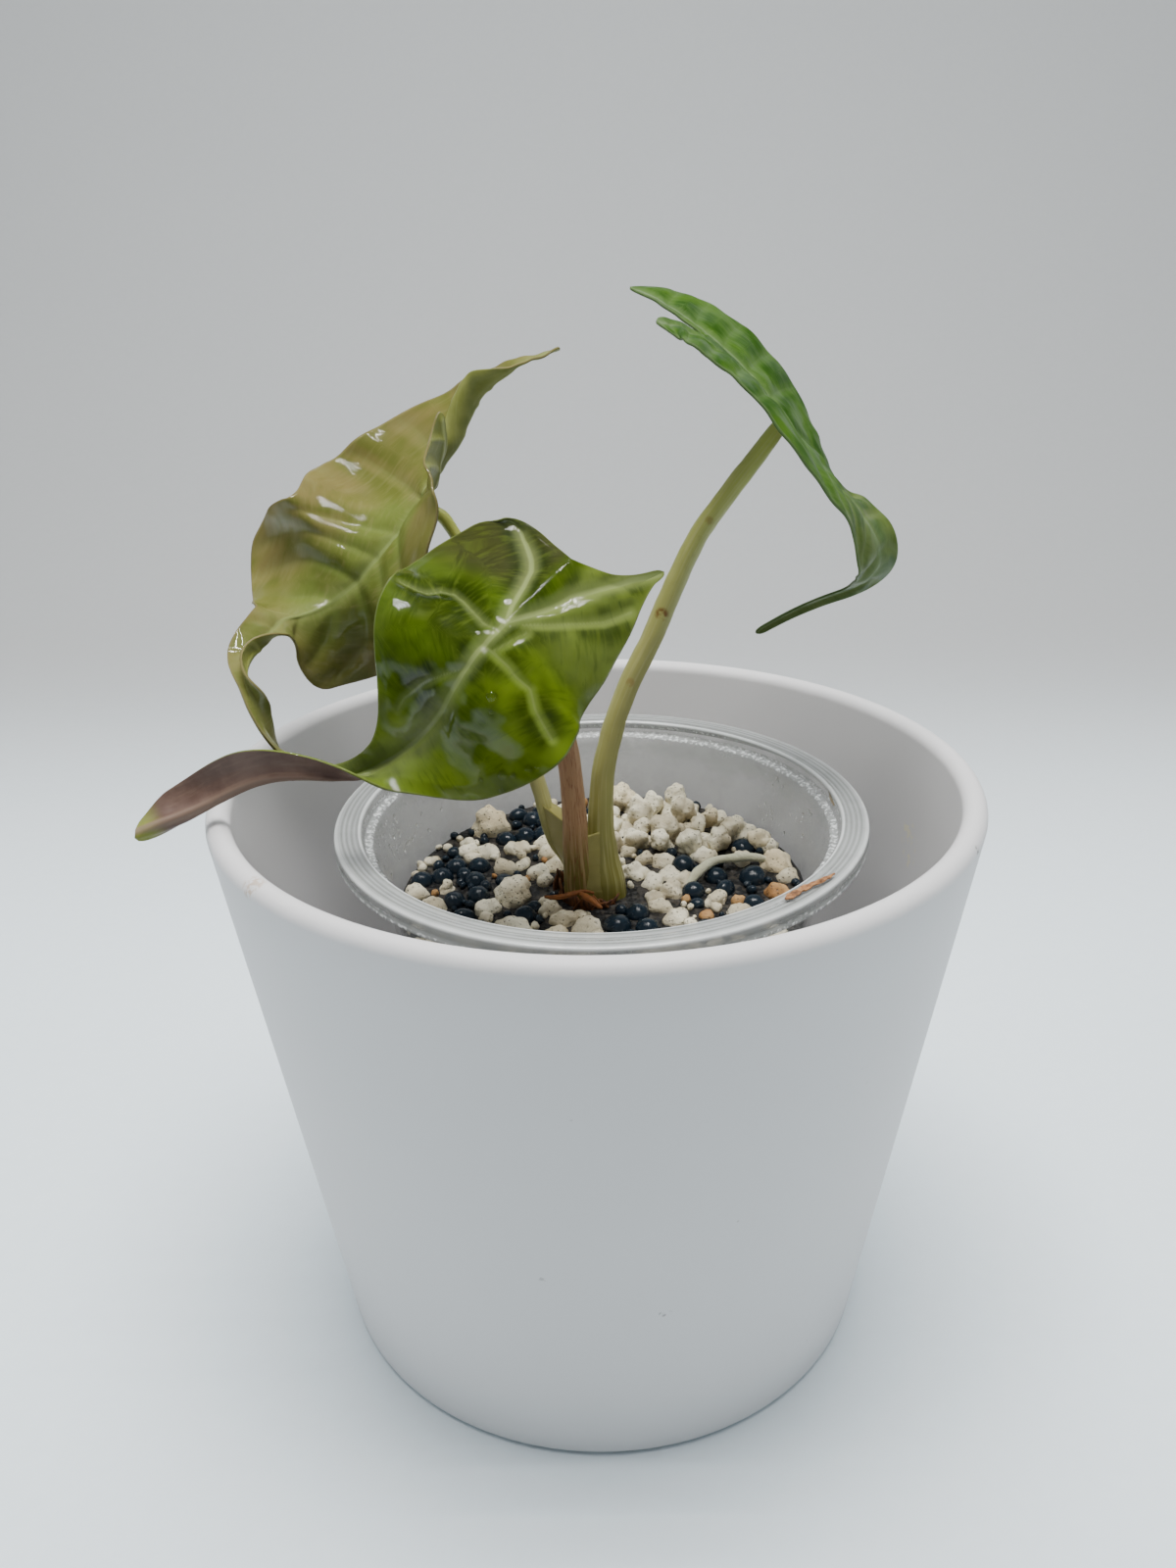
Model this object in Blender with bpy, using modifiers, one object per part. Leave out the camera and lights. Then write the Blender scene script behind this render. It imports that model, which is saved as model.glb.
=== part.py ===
"""A young alocasia in a clear inner cup, standing in a white ceramic pot.

The frame's origin is the centre of the pot's flat base, +Z up and -Y towards the viewer.
Every size below is in millimetres and every angle in degrees; MM turns them into metres.
"""
import bmesh
import bpy
import math
import random
from mathutils import Matrix, Quaternion, Vector
from mathutils.bvhtree import BVHTree

MM = 0.001
GAP = 0.3                      # clearance between pieces that touch
PLANT = "potted_alocasia"

# Outer pot
POT_HEIGHT = 112.3
POT_BASE_RADIUS = 53.6
POT_RIM_RADIUS = 70.0
POT_RIM_ROUND = 2.2            # the rim is a half circle of this radius
POT_FLOOR = 6.0
POT_FOOT_ROUND = 2.0
POT_STEPS = 56

# Clear inner cup, in its own frame: origin at the centre of its base
CUP_HEIGHT = 98.0
CUP_BASE_RADIUS = 28.0
CUP_WALL = 0.8
CUP_FLANGE_RADIUS = 49.0
CUP_FLANGE_INNER = 43.7
CUP_LEDGE_DEPTH = 2.6
CUP_LEDGE_WIDTH = 1.6
CUP_SKIRT = 3.2
CUP_PLACE = (1.9, 0.7, 7.15)
CUP_TILT = (1.5, -0.6)         # it leans a little in the pot, back edge high
CUP_STEPS = 48

# Substrate in the cup, in the cup's frame
BED_TOP = 81.6
BED_HEAP = 1.6                 # how much higher the bed lies at the back right
PEBBLE_SEED = 11
PEBBLE_TRIES = 330
PEBBLE_RADIUS = (1.5, 2.9)
PELLET_RADIUS = 2.3
PEBBLE_SINK = 0.25             # how far a centre lies below the bed, in radii
# The stones that stand out in the photo: x, y, radius, height over width, kind
LANDMARKS = [
    (-24.5, 27.0, 3.9, 1.5, "cream"), (-17.0, -1.0, 4.2, 1.0, "pumice"),
    (-16.5, -14.0, 3.5, 0.9, "pumice"), (-10.5, -4.0, 2.3, 1.1, "tan"),
    (-17.0, 16.5, 3.2, 0.7, "pumice"), (-30.0, 2.0, 2.1, 1.0, "pumice"),
    (17.0, 30.5, 4.3, 0.9, "pumice"), (30.5, 20.5, 3.6, 0.9, "pumice"),
    (5.5, 20.5, 3.1, 0.9, "pumice"), (7.5, 32.5, 3.3, 0.9, "pumice"),
    (24.5, 26.0, 2.8, 1.0, "pumice"), (21.5, 16.0, 2.9, 0.8, "pumice"),
    (15.5, 19.0, 2.7, 0.9, "pumice"), (34.0, 7.0, 3.3, 1.0, "cream"),
    (33.0, -4.5, 2.8, 0.8, "tan"), (29.0, 1.5, 2.8, 1.0, "pellet"),
    (28.5, 13.5, 2.6, 0.8, "pellet"), (16.0, 7.0, 2.5, 1.0, "pellet"),
    (21.0, -6.0, 2.4, 1.0, "pumice"), (13.0, -2.5, 2.5, 1.0, "pumice"),
    (2.5, -13.5, 2.6, 0.9, "pellet"), (-8.5, -16.0, 2.4, 0.8, "cream"),
]
# Where dark pellets lie together: x, y and radius of the patch
PELLET_PATCHES = [(-28.0, 3.0, 8.0), (25.0, -2.0, 8.5), (2.5, -13.0, 5.0), (-15.0, 25.0, 6.0)]

# Plant base
CROWN_CENTRE = (-1.2, -2.2)
CROWN_RADIUS = 6.0
CROWN_BOTTOM = 74.0
CROWN_TOP = 90.0

BLADE_THICKNESS = 0.7
BLADE_COLUMNS = 5
BLADE_ROW = 3                  # a row of the mesh every 3 mm along the midrib
RAMP = 3.0                     # a bend fades into the next one over this distance each way

# A blade is drawn flat and then bent. x runs along the midrib from the petiole (0) to the tip,
# and is negative along the two lobes behind the petiole; side a is the right half as seen from
# above with the tip ahead, side b is the left half. Each stretch is (length, bend, turn, twist):
# bend lifts it towards the upper face, turn swings it to side b, twist raises side b.
# margin, inner and vein are (x, distance from the midrib), fold is (x, angle of that half),
# curl and roll are (x, degrees a millimetre) outside and inside the vein.
BLADES = {
    "front": {
        "at": (-13.8, -22.1, 147.0), "aim": (-140, -29, -37), "sinus": 16, "columns": (5, 6),
        "tip": [(19, -76, 2, -9), (17, 47, -26, 0), (10, 41, -20, 81), (15, -32, -31, 27),
                (19, -21, 39, 44)],
        "neck": (17, -3, -4, -1),
        "a": {
            "lobe": [(18, -32, -58, -8)],
            "margin": [(-24, 14.8), (-21, 16), (-12, 22.2), (0, 26.6), (12, 21.1), (24, 12.4),
                       (36, 4.5), (44, 2.7), (60, 2.2), (72, 2.2), (80, 1.0)],
            "inner": [(-24, 13.3), (-18, 5.2), (-16, 0)],
            "vein": [(-24, 14), (-12, 5.9), (0, 0)],
            "fold": [(-24, -16), (0, -26), (16, -11), (30, 8), (45, 44), (80, 45)],
            "curl": [(-24, -0.3), (0, -0.1), (80, 0)],
        },
        "b": {
            "lobe": [(18, 11, -4, -23)],
            "margin": [(-28, 13.8), (-24, 13), (-12, 16), (0, 19.6), (12, 21.3), (24, 15.8),
                       (36, 6.1), (44, 3.8), (60, 6.6), (72, 5.7), (80, 1.6)],
            "inner": [(-28, 12.4), (-20, 6.8), (-16, 0)],
            "vein": [(-28, 13.1), (-14, 5.9), (0, 0)],
            "fold": [(-28, -16), (0, -10), (16, 11), (30, 21), (45, 59), (80, 46)],
            "curl": [(-28, -0.2), (0, -1.7), (40, 0.3), (80, 0)],
        },
    },
    "back": {
        "at": (-33.4, 17.5, 156.2), "aim": (-145.5, -42, -26), "sinus": 4, "columns": (8, 5),
        "tip": [(17, -33, -12, -61), (12, 62, -40, 34), (7, 20, 29, -21), (14, -6, 4, 90),
                (13, -70, 66, -74), (11, -11, 78, -55)],
        "neck": (7, 17, 6, 0),
        "a": {
            "lobe": [(10, 29, 25, 24), (29, -88, -46, -14)],
            "margin": [(-46, 2.9), (-40, 4.8), (-34, 7.9), (-24, 16.9), (-12, 21.3), (0, 25),
                       (14, 19.9), (24, 23.2), (31, 9.4), (36, 4.8), (46, 4.7), (56, 1.5),
                       (66, 3.2), (74, 1.0)],
            "inner": [(-46, 1.3), (-38, 2.4), (-24, 0.6), (-10, -1), (-4, 0)],
            "vein": [(-46, 3.4), (-38, 3), (-24, 7.3), (-12, 2.4), (0, 0)],
            "fold": [(-46, -11), (0, -26), (30, -48), (44, 4), (74, 16)],
            "curl": [(-46, 0), (0, 1.9), (40, -0.6), (74, 0)],
            "roll": [(-46, 32), (-12, 28), (-6, 0)],
        },
        "b": {
            "lobe": [(16, 33, -13, 0)],
            "margin": [(-22, 7.1), (-18, 9.4), (-10, 15.9), (0, 18.9), (14, 17.3), (26, 15.6),
                       (32, 7.4), (36, 3.2), (46, 3.4), (56, 2.4), (66, 2.2), (74, 1.0)],
            "inner": [(-22, 5.5), (-12, 2.4), (-4, 0)],
            "vein": [(-22, 6.3), (-12, 4.6), (0, 0)],
            "fold": [(-22, 80), (0, 53), (14, 53), (26, -18), (32, -5), (40, 53), (54, 95),
                     (62, 5), (74, 2)],
            "curl": [(-22, 0.2), (0, -0.8), (20, 0.2), (30, -1.5), (74, 0)],
        },
    },
    "right": {
        "at": (33.5, 8.0, 173.9), "aim": (-23, -49.5, -15), "sinus": 19, "columns": (5, 5),
        "tip": [(19, 6, 12, 1), (9, -19, 17, 28), (9, -58, -10, 40), (8, -14, -20, 18),
                (20, 22, -12, 10)],
        "neck": (22, -21, -10, 5),
        "a": {
            "lobe": [(14, -7, -48, 11)],
            "margin": [(-33, 8.8), (-29, 13.6), (-18, 18.4), (0, 19.4), (12, 16.7), (24, 10.1),
                       (36, 5.4), (44, 2.4), (56, 1.4), (65, 1.0)],
            "inner": [(-33, 7.3), (-26, 2.8), (-19, 0)],
            "vein": [(-33, 8), (-18, 4.2), (0, 0)],
            "fold": [(-34, 2), (-18, 1), (0, 3), (14, -1), (28, -12), (42, -1), (65, 12)],
            "curl": [(-34, -0.6), (0, -0.8), (65, -0.1)],
        },
        "b": {
            "lobe": [(16, -17, 9, -3)],
            "margin": [(-36, 8.8), (-32, 13.9), (-18, 18.2), (0, 20.5), (12, 17), (24, 9.8),
                       (36, 5), (44, 2.5), (56, 1.5), (65, 1.0)],
            "inner": [(-36, 7.1), (-26, 2.6), (-19, 0)],
            "vein": [(-36, 7.9), (-18, 2.8), (0, 0)],
            "fold": [(-36, 13), (-18, 14), (0, 8), (14, 0), (28, -6), (42, 5), (65, 20)],
            "curl": [(-36, -0.3), (0, 0.2), (65, -0.4)],
        },
    },
}

# Leaf stalks from the crown up: x, y, z and diameter. The end under the blade is worked out.
PETIOLES = {
    "right": [(1.3, -2.6, 90.3, 5.8), (0.9, -1.8, 100, 5.2), (1.2, -0.6, 109.5, 4.4),
              (3.0, 0.7, 118.7, 4.1), (6.2, 1.9, 127.7, 3.9), (10.5, 3.1, 136.5, 3.9),
              (14.3, 4.3, 145.2, 3.8), (18.4, 5.6, 153.6, 3.6), (24.4, 6.8, 161.9, 3.4),
              (30.4, 7.8, 169.5, 3.1)],
    "front": [(-4.0, -4.6, 90.3, 4.4), (-3.9, -5.2, 101.6, 4.3), (-4.2, -7.5, 112, 4.2),
              (-5.3, -9.2, 122, 4.0), (-8.2, -12.0, 134, 3.8), (-11.3, -16.0, 141.5, 3.4)],
    "back": [(-4.3, 0.6, 90.8, 3.2), (-8, 1.7, 98, 3.2), (-10.6, 4, 107, 3.1),
             (-14.5, 8, 122, 2.9), (-20.2, 15, 142, 2.6), (-25.4, 20.0, 151.7, 2.4),
             (-28.8, 20.2, 156.0, 2.3)],
}
PETIOLE_STEP = 5.0
PETIOLE_SIDES = 8

# A pale root lying over the pebbles: x, y, z
ROOT_PATH = [(17.2, -3.0, 89.0), (19.6, -0.4, 91.2), (23.4, 3.2, 91.6), (28.0, 4.3, 91.6),
             (32.0, 5.1, 91.0), (34.5, 5.8, 89.2)]
ROOT_DIAMETER = 1.8
ROOT_STEP = 2.0

# A splinter of bark lying on the cup's flange, in the cup's frame
SPLINTER_SIZE = (12.4, 2.0, 0.8)
SPLINTER_PLACE = (33.6, -32.4)
SPLINTER_TURN = 42.0

COLOURS = {
    "pot": ((0.80, 0.79, 0.80), 0.55, 1.0),
    "inner_cup": ((0.82, 0.85, 0.86), 0.25, 0.35),
    "substrate": ((0.34, 0.30, 0.22), 0.85, 1.0),
    "crown": ((0.20, 0.11, 0.05), 0.75, 1.0),
    "petiole_right": ((0.18, 0.22, 0.05), 0.4, 1.0),
    "petiole_front": ((0.25, 0.12, 0.06), 0.4, 1.0),
    "petiole_back": ((0.23, 0.24, 0.06), 0.4, 1.0),
    "blade_front": ((0.05, 0.12, 0.02), 0.3, 1.0),
    "blade_back": ((0.17, 0.17, 0.04), 0.35, 1.0),
    "blade_right": ((0.08, 0.18, 0.06), 0.35, 1.0),
    "surface_root": ((0.62, 0.60, 0.50), 0.8, 1.0),
    "bark_splinter": ((0.22, 0.08, 0.04), 0.8, 1.0),
}


def collection(name, shown=True):
    """A new collection in the scene."""
    made = bpy.data.collections.new(name)
    bpy.context.scene.collection.children.link(made)
    made.hide_render = not shown
    return made


def node(name, mesh, home, parent=None):
    """An object in millimetres' mesh coordinates scaled to metres, with its own material."""
    mesh.transform(Matrix.Scale(MM, 4))
    made = bpy.data.objects.new(name, mesh)
    home.objects.link(made)
    made.parent = parent
    if name in COLOURS:
        colour, roughness, alpha = COLOURS[name]
        material = bpy.data.materials.new(name)
        material.use_nodes = True
        shader = material.node_tree.nodes["Principled BSDF"]
        shader.inputs["Base Color"].default_value = (*colour, 1)
        shader.inputs["Roughness"].default_value = roughness
        shader.inputs["Alpha"].default_value = alpha
        mesh.materials.append(material)
    else:
        made.display_type = "WIRE"
    return made


def bake(obj):
    """Replaces an object's mesh by its mesh with the modifiers applied."""
    bpy.context.view_layer.update()
    seen = obj.evaluated_get(bpy.context.evaluated_depsgraph_get())
    mesh = bpy.data.meshes.new_from_object(seen)
    obj.modifiers.clear()
    obj.data = mesh


def arc(centre, radius, start, end, steps):
    """Points (radius, z) on an arc of a profile, angles in degrees."""
    points = []
    for step in range(steps + 1):
        angle = math.radians(start + (end - start) * step / steps)
        points.append((centre[0] + radius * math.cos(angle), centre[1] + radius * math.sin(angle)))
    return points


def turned(name, profile, steps, home, parent=None):
    """A solid turned from a profile of (radius, z) that ends on the axis both ways."""
    mesh = bpy.data.meshes.new(name)
    rows = [(radius, 0, z) for radius, z in profile]
    mesh.from_pydata(rows, [(i, i + 1) for i in range(len(rows) - 1)], [])
    made = node(name, mesh, home, parent)
    screw = made.modifiers.new("turn", "SCREW")
    screw.steps = steps
    screw.render_steps = steps
    screw.use_merge_vertices = True
    screw.merge_threshold = 0.00001
    bake(made)
    return made


def smooth(keys, x):
    """The value at x of a curve through the keys that never swings past one of them."""
    if x <= keys[0][0]:
        return keys[0][1]
    if x >= keys[-1][0]:
        return keys[-1][1]
    at = max(i for i in range(len(keys) - 1) if keys[i][0] <= x)
    gaps = [keys[i + 1][0] - keys[i][0] for i in range(len(keys) - 1)]
    rises = [(keys[i + 1][1] - keys[i][1]) / gaps[i] for i in range(len(keys) - 1)]

    def slope(i):
        if i == 0 or i == len(keys) - 1:
            return rises[min(i, len(rises) - 1)]
        before, after = rises[i - 1], rises[i]
        if before * after <= 0:
            return 0.0
        first = 2 * gaps[i] + gaps[i - 1]
        second = gaps[i] + 2 * gaps[i - 1]
        return (first + second) / (first / before + second / after)

    t = (x - keys[at][0]) / gaps[at]
    near, far = keys[at][1], keys[at + 1][1]
    pull_near, pull_far = slope(at) * gaps[at], slope(at + 1) * gaps[at]
    return (near * (2 * t**3 - 3 * t**2 + 1) + far * (3 * t**2 - 2 * t**3)
            + pull_near * (t**3 - 2 * t**2 + t) + pull_far * (t**3 - t**2))


def bend_rates(blade, side):
    """Keys (x, turning per millimetre about the blade's three axes) from the lobe to the tip."""
    stretches = []
    start = 0
    for length, bend, turn, twist in [blade["neck"]] + blade[side]["lobe"]:
        rate = Vector((-twist, -bend, turn)) / length
        stretches.insert(0, (start - length, start, rate))
        start -= length
    start = 0
    for length, bend, turn, twist in blade["tip"]:
        rate = Vector((twist, -bend, turn)) / length
        stretches.append((start, start + length, rate))
        start += length
    keys = []
    for first, last, rate in stretches:
        ramp = min(RAMP, (last - first) / 2 - 0.01)
        keys += [(first + ramp, rate), (last - ramp, rate)]
    return keys


def rate_at(keys, x):
    """The turning per millimetre at x, in a straight line between the keys."""
    if x <= keys[0][0]:
        return keys[0][1]
    for (first, near), (last, far) in zip(keys, keys[1:]):
        if x <= last:
            return near.lerp(far, (x - first) / (last - first))
    return keys[-1][1]


def midrib(blade, side):
    """Place and axes (tip-ward, side b, upper face) at every whole millimetre of x."""
    keys = bend_rates(blade, side)
    azimuth, pitch, roll = (math.radians(angle) for angle in blade["aim"])
    axes = Matrix.Rotation(azimuth, 3, "Z")
    axes = axes @ Matrix.Rotation(-pitch, 3, "Y") @ Matrix.Rotation(roll, 3, "X")
    found = {0: (Vector(blade["at"]), axes)}
    for way, last in ((1, blade[side]["margin"][-1][0]), (-1, blade[side]["margin"][0][0])):
        place, now = found[0]
        for step in range(abs(last)):
            turning = rate_at(keys, way * (step + 0.5)) * way / 2
            half = Matrix.Rotation(math.radians(turning.length), 3, turning)
            now = now @ half
            place = place + now.col[0] * way
            now = now @ half
            found[way * (step + 1)] = (place, now)
    return found


def blade_point(spine, shape, side, x, y):
    """Where the point x along and y out from the midrib lies on the bent blade."""
    place, axes = spine[x]
    outwards = axes.col[1] * (1 if side == "b" else -1)
    vein = smooth(shape["vein"], x) if x < 0 else 0.0
    fold = smooth(shape["fold"], x) * min(1.0, smooth(shape["margin"], x) / 2.2)
    reach = y - vein
    curl = smooth(shape["curl"], x) if reach >= 0 else smooth(shape.get("roll", [(0, 0)]), x)
    swing = math.radians(curl * reach / 2)
    chord = reach * (math.sin(swing) / swing if abs(swing) > 1e-6 else 1.0)
    angle = math.radians(fold)
    near = outwards * math.cos(angle) + axes.col[2] * math.sin(angle)
    far = outwards * math.cos(angle + swing) + axes.col[2] * math.sin(angle + swing)
    return place + near * vein + far * chord


def blade_rows(blade, side):
    """The whole millimetres of x that get a row of the mesh, the start of the sinus among them."""
    first, last = blade[side]["margin"][0][0], blade[side]["margin"][-1][0]
    rows = list(range(first, -blade["sinus"], BLADE_ROW))
    rows += list(range(-blade["sinus"], 0, BLADE_ROW)) + list(range(0, last - 1, BLADE_ROW))
    return rows + [last]


def blade(name, home):
    """One leaf blade: two halves of a grid, bent, joined along the midrib and thickened."""
    form = BLADES[name]
    spines = {side: midrib(form, side) for side in "ab"}
    mesh = bmesh.new()
    for side, columns in zip("ab", form["columns"]):
        shape = form[side]
        rows = blade_rows(form, side)
        grid = bmesh.ops.create_grid(
            mesh, x_segments=columns, y_segments=len(rows) - 1, size=0.5)
        for vert in grid["verts"]:
            x = rows[round((vert.co.y + 0.5) * (len(rows) - 1))]
            t = vert.co.x + 0.5
            inner = smooth(shape["inner"], x) if x < -form["sinus"] else 0.0
            margin = smooth(shape["margin"], x)
            narrow = min(1.0, 0.5 + margin / 20)
            y = inner + (margin - inner) * t**narrow
            vert.co = blade_point(spines[side], shape, side, x, y)
            if t < 0.01 and x >= -form["sinus"]:
                other = "a" if side == "b" else "b"
                across = blade_point(spines[other], form[other], other, x, 0.0)
                vert.co = (vert.co + across) / 2
    bmesh.ops.remove_doubles(mesh, verts=mesh.verts, dist=0.01)
    bmesh.ops.recalc_face_normals(mesh, faces=mesh.faces)
    bmesh.ops.triangulate(mesh, faces=mesh.faces)
    made = bpy.data.meshes.new("blade_" + name)
    mesh.to_mesh(made)
    mesh.free()
    leaf = node("blade_" + name, made, home)
    shell = leaf.modifiers.new("thickness", "SOLIDIFY")
    shell.thickness = BLADE_THICKNESS * MM
    shell.offset = 0
    shell.use_even_offset = True
    bake(leaf)
    return leaf


def blade_normal(name):
    """The way the upper face looks at the petiole's joint."""
    form = BLADES[name]
    axes = midrib(form, "a")[0][1]
    low = math.radians(smooth(form["a"]["fold"], 0))
    high = math.radians(smooth(form["b"]["fold"], 0))
    facing = axes.col[1] * (math.sin(low) - math.sin(high))
    facing += axes.col[2] * (math.cos(low) + math.cos(high))
    return facing.normalized()


def tube(name, path, home, step=PETIOLE_STEP):
    """A round bar through a path of (x, y, z, diameter), its ends closed."""
    lengths = [0.0]
    for near, far in zip(path, path[1:]):
        lengths.append(lengths[-1] + (Vector(far[:3]) - Vector(near[:3])).length)
    keys = [[(run, point[axis]) for run, point in zip(lengths, path)] for axis in range(4)]
    pieces = round(lengths[-1] / step)
    curve = bpy.data.curves.new(name, "CURVE")
    curve.dimensions = "3D"
    curve.bevel_depth = 1.0
    curve.bevel_resolution = PETIOLE_SIDES // 2 - 2
    curve.use_fill_caps = True
    line = curve.splines.new("POLY")
    line.points.add(pieces)
    for i, point in enumerate(line.points):
        run = lengths[-1] * i / pieces
        x, y, z, diameter = (smooth(values, run) for values in keys)
        point.co = (x, y, z, 1)
        point.radius = diameter / 2
    drawn = bpy.data.objects.new(name, curve)
    home.objects.link(drawn)
    bpy.context.view_layer.update()
    seen = drawn.evaluated_get(bpy.context.evaluated_depsgraph_get())
    mesh = bpy.data.meshes.new_from_object(seen)
    bpy.data.objects.remove(drawn)
    welded = bmesh.new()
    welded.from_mesh(mesh)
    bmesh.ops.remove_doubles(welded, verts=welded.verts, dist=0.001)
    bmesh.ops.recalc_face_normals(welded, faces=welded.faces)
    welded.to_mesh(mesh)
    welded.free()
    return node(name, mesh, home)


def petiole(name, leaf, home):
    """A leaf stalk from the crown to just under its blade."""
    path = list(PETIOLES[name])
    joint = Vector(BLADES[name]["at"])
    facing = blade_normal(name)
    along = (joint - Vector(path[-1][:3])).normalized()
    across = along.orthogonal().normalized() * path[-1][3] / 2
    tree = BVHTree.FromObject(leaf, bpy.context.evaluated_depsgraph_get())
    end = joint
    clear = False
    while not clear:
        end = end - along * 0.1
        turns = [Quaternion(along, math.radians(30 * i)) for i in range(12)]
        disc = [end] + [end + turn @ across for turn in turns]
        below = all((point - joint).dot(facing) < 0 for point in disc)
        clear = below and all(tree.find_nearest(point * MM)[3] > GAP * MM for point in disc)
    path.append((*end, path[-1][3]))
    return tube("petiole_" + name, path, home)


def bed_height(x, y):
    """Top of the substrate between the pebbles, in the cup's frame."""
    return BED_TOP + BED_HEAP * (0.4 * x + 0.9 * y) / 40


def cup_inside(z):
    """Inner radius of the cup's wall at a height."""
    low, high = CUP_BASE_RADIUS - CUP_WALL, 39.4
    return low + (high - low) * (z - CUP_WALL) / (82.0 - CUP_WALL)


def pebble_places():
    """Centre, half axes, turn and kind of each pebble: the landmarks, then seeded ones between."""
    chance = random.Random(PEBBLE_SEED)
    limit = cup_inside(BED_TOP) - GAP - 0.9
    crown = Vector(CROWN_CENTRE) - Vector(CUP_PLACE[:2]) - Vector((-1.0, -2.1))
    wanted = [(Vector(spot[:2]), *spot[2:]) for spot in LANDMARKS]
    for i in range(PEBBLE_TRIES):
        angle = i * math.radians(137.508)
        out = limit * math.sqrt((i + 0.5) / PEBBLE_TRIES)
        here = Vector((out * math.cos(angle), out * math.sin(angle)))
        size = chance.uniform(*PEBBLE_RADIUS)
        patch = any((here - Vector(spot[:2])).length < spot[2] for spot in PELLET_PATCHES)
        dark = chance.random() < (0.75 if patch else 0.06)
        tall = chance.uniform(0.75, 1.1)
        wanted.append((here, *((PELLET_RADIUS, 1.0, "pellet") if dark else (size, tall, "pumice"))))
    places = []
    for here, size, tall, kind in wanted:
        stretch = 1.0 if kind == "pellet" else chance.uniform(0.85, 1.15)
        axes = (size * stretch, size / stretch, size * tall)
        widest = max(axes[:2])
        if here.length > limit - widest:
            here = here.normalized() * (limit - widest)
        turn = Quaternion((0, 0, 1), chance.uniform(0, math.pi))
        turn = turn @ Quaternion((1, 0, 0), chance.uniform(-0.3, 0.3))
        near = any((here - Vector(other[0][:2])).length < 0.8 * (size + max(other[1][:2]))
                   for other in places)
        if near or (here - crown).length < CROWN_RADIUS + 1.4 + widest:
            continue
        place = Vector((here.x, here.y, bed_height(*here) - PEBBLE_SINK * size))
        places.append((place, axes, turn, kind))
    return places


def substrate(home, cutters, cup):
    """The bed with its pebbles fused in and a plain hole for the crown."""
    low = CUP_WALL + GAP
    profile = [(0, BED_TOP), (cup_inside(BED_TOP - BED_HEAP) - GAP - 0.1, BED_TOP),
               (cup_inside(low) - GAP - 0.1, low), (0, low)]
    bed = turned("substrate", profile, CUP_STEPS, home, cup)
    for vert in bed.data.vertices:
        if vert.co.z > BED_TOP * MM / 2:
            vert.co.z = bed_height(vert.co.x / MM, vert.co.y / MM) * MM
    pebbles = collection("pebbles", shown=False)
    for i, (place, axes, turn, _) in enumerate(pebble_places()):
        mesh = bpy.data.meshes.new("pebble")
        ball = bmesh.new()
        shape = Matrix.LocRotScale(Vector(place), turn, Vector(axes))
        bmesh.ops.create_icosphere(ball, subdivisions=1, radius=1.0, matrix=shape)
        ball.to_mesh(mesh)
        ball.free()
        node("pebble_%03d" % i, mesh, pebbles, cup)
    join = bed.modifiers.new("pebbles", "BOOLEAN")
    join.operation = "UNION"
    join.operand_type = "COLLECTION"
    join.collection = pebbles
    join.solver = "MANIFOLD"
    bake(bed)
    for pebble in list(pebbles.objects):
        bpy.data.objects.remove(pebble)
    bpy.data.collections.remove(pebbles)
    hole = [(0, 110), (CROWN_RADIUS + 1.6 + GAP, 110), (CROWN_RADIUS + 1.6 + GAP, 86.5),
            (CROWN_RADIUS + GAP, 85), (CROWN_RADIUS + GAP, CROWN_BOTTOM - GAP),
            (0, CROWN_BOTTOM - GAP)]
    crown_hole = turned("crown_hole", hole, 20, cutters)
    crown_hole.location = (CROWN_CENTRE[0] * MM, CROWN_CENTRE[1] * MM, 0)
    ends = [Vector(ROOT_PATH[0]), Vector(ROOT_PATH[-1])]
    ends[0] += (ends[0] - Vector(ROOT_PATH[1])).normalized()
    ends[1] += (ends[1] - Vector(ROOT_PATH[-2])).normalized()
    wide = [tuple(ends[0])] + ROOT_PATH + [tuple(ends[1])]
    wide = [(*point, ROOT_DIAMETER + 2 * GAP + 0.5) for point in wide]
    trough = tube("root_trough", wide, cutters, ROOT_STEP)
    for cutter in (crown_hole, trough):
        cut = bed.modifiers.new(cutter.name, "BOOLEAN")
        cut.operation = "DIFFERENCE"
        cut.object = cutter
        cut.solver = "EXACT"
    bake(bed)
    return bed


def crown(home):
    """The short stem, its papery scales standing up round the foot of the petioles."""
    top = CROWN_TOP - GAP
    profile = [(0, top), (CROWN_RADIUS + 0.3, top), (CROWN_RADIUS + 0.9, top + 1.6),
               (CROWN_RADIUS + 1.6, top + 1.8), (CROWN_RADIUS + 1.1, 87.5),
               (CROWN_RADIUS, 85.5), (CROWN_RADIUS, CROWN_BOTTOM), (0, CROWN_BOTTOM)]
    made = turned("crown", profile, 20, home)
    for vert in made.data.vertices:
        if vert.co.z > (top + 1) * MM:
            angle = math.atan2(vert.co.y, vert.co.x)
            vert.co.z += (0.9 * math.sin(3 * angle + 3.6) + 0.4 * math.sin(7 * angle)) * MM
    made.location = (CROWN_CENTRE[0] * MM, CROWN_CENTRE[1] * MM, 0)
    return made


def splinter(home, cup):
    """A flat sliver of bark, thinner towards one end."""
    mesh = bmesh.new()
    bmesh.ops.create_cube(mesh, size=1.0)
    for vert in mesh.verts:
        end = 0.45 if vert.co.x > 0 else 1.0
        vert.co = Vector((vert.co.x, vert.co.y * end, vert.co.z)) * Vector(SPLINTER_SIZE)
    made = bpy.data.meshes.new("bark_splinter")
    mesh.to_mesh(made)
    mesh.free()
    sliver = node("bark_splinter", made, home, cup)
    height = CUP_HEIGHT + GAP + SPLINTER_SIZE[2] / 2
    sliver.location = Vector((*SPLINTER_PLACE, height)) * MM
    sliver.rotation_euler = (0, 0, math.radians(SPLINTER_TURN))
    return sliver


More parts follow.
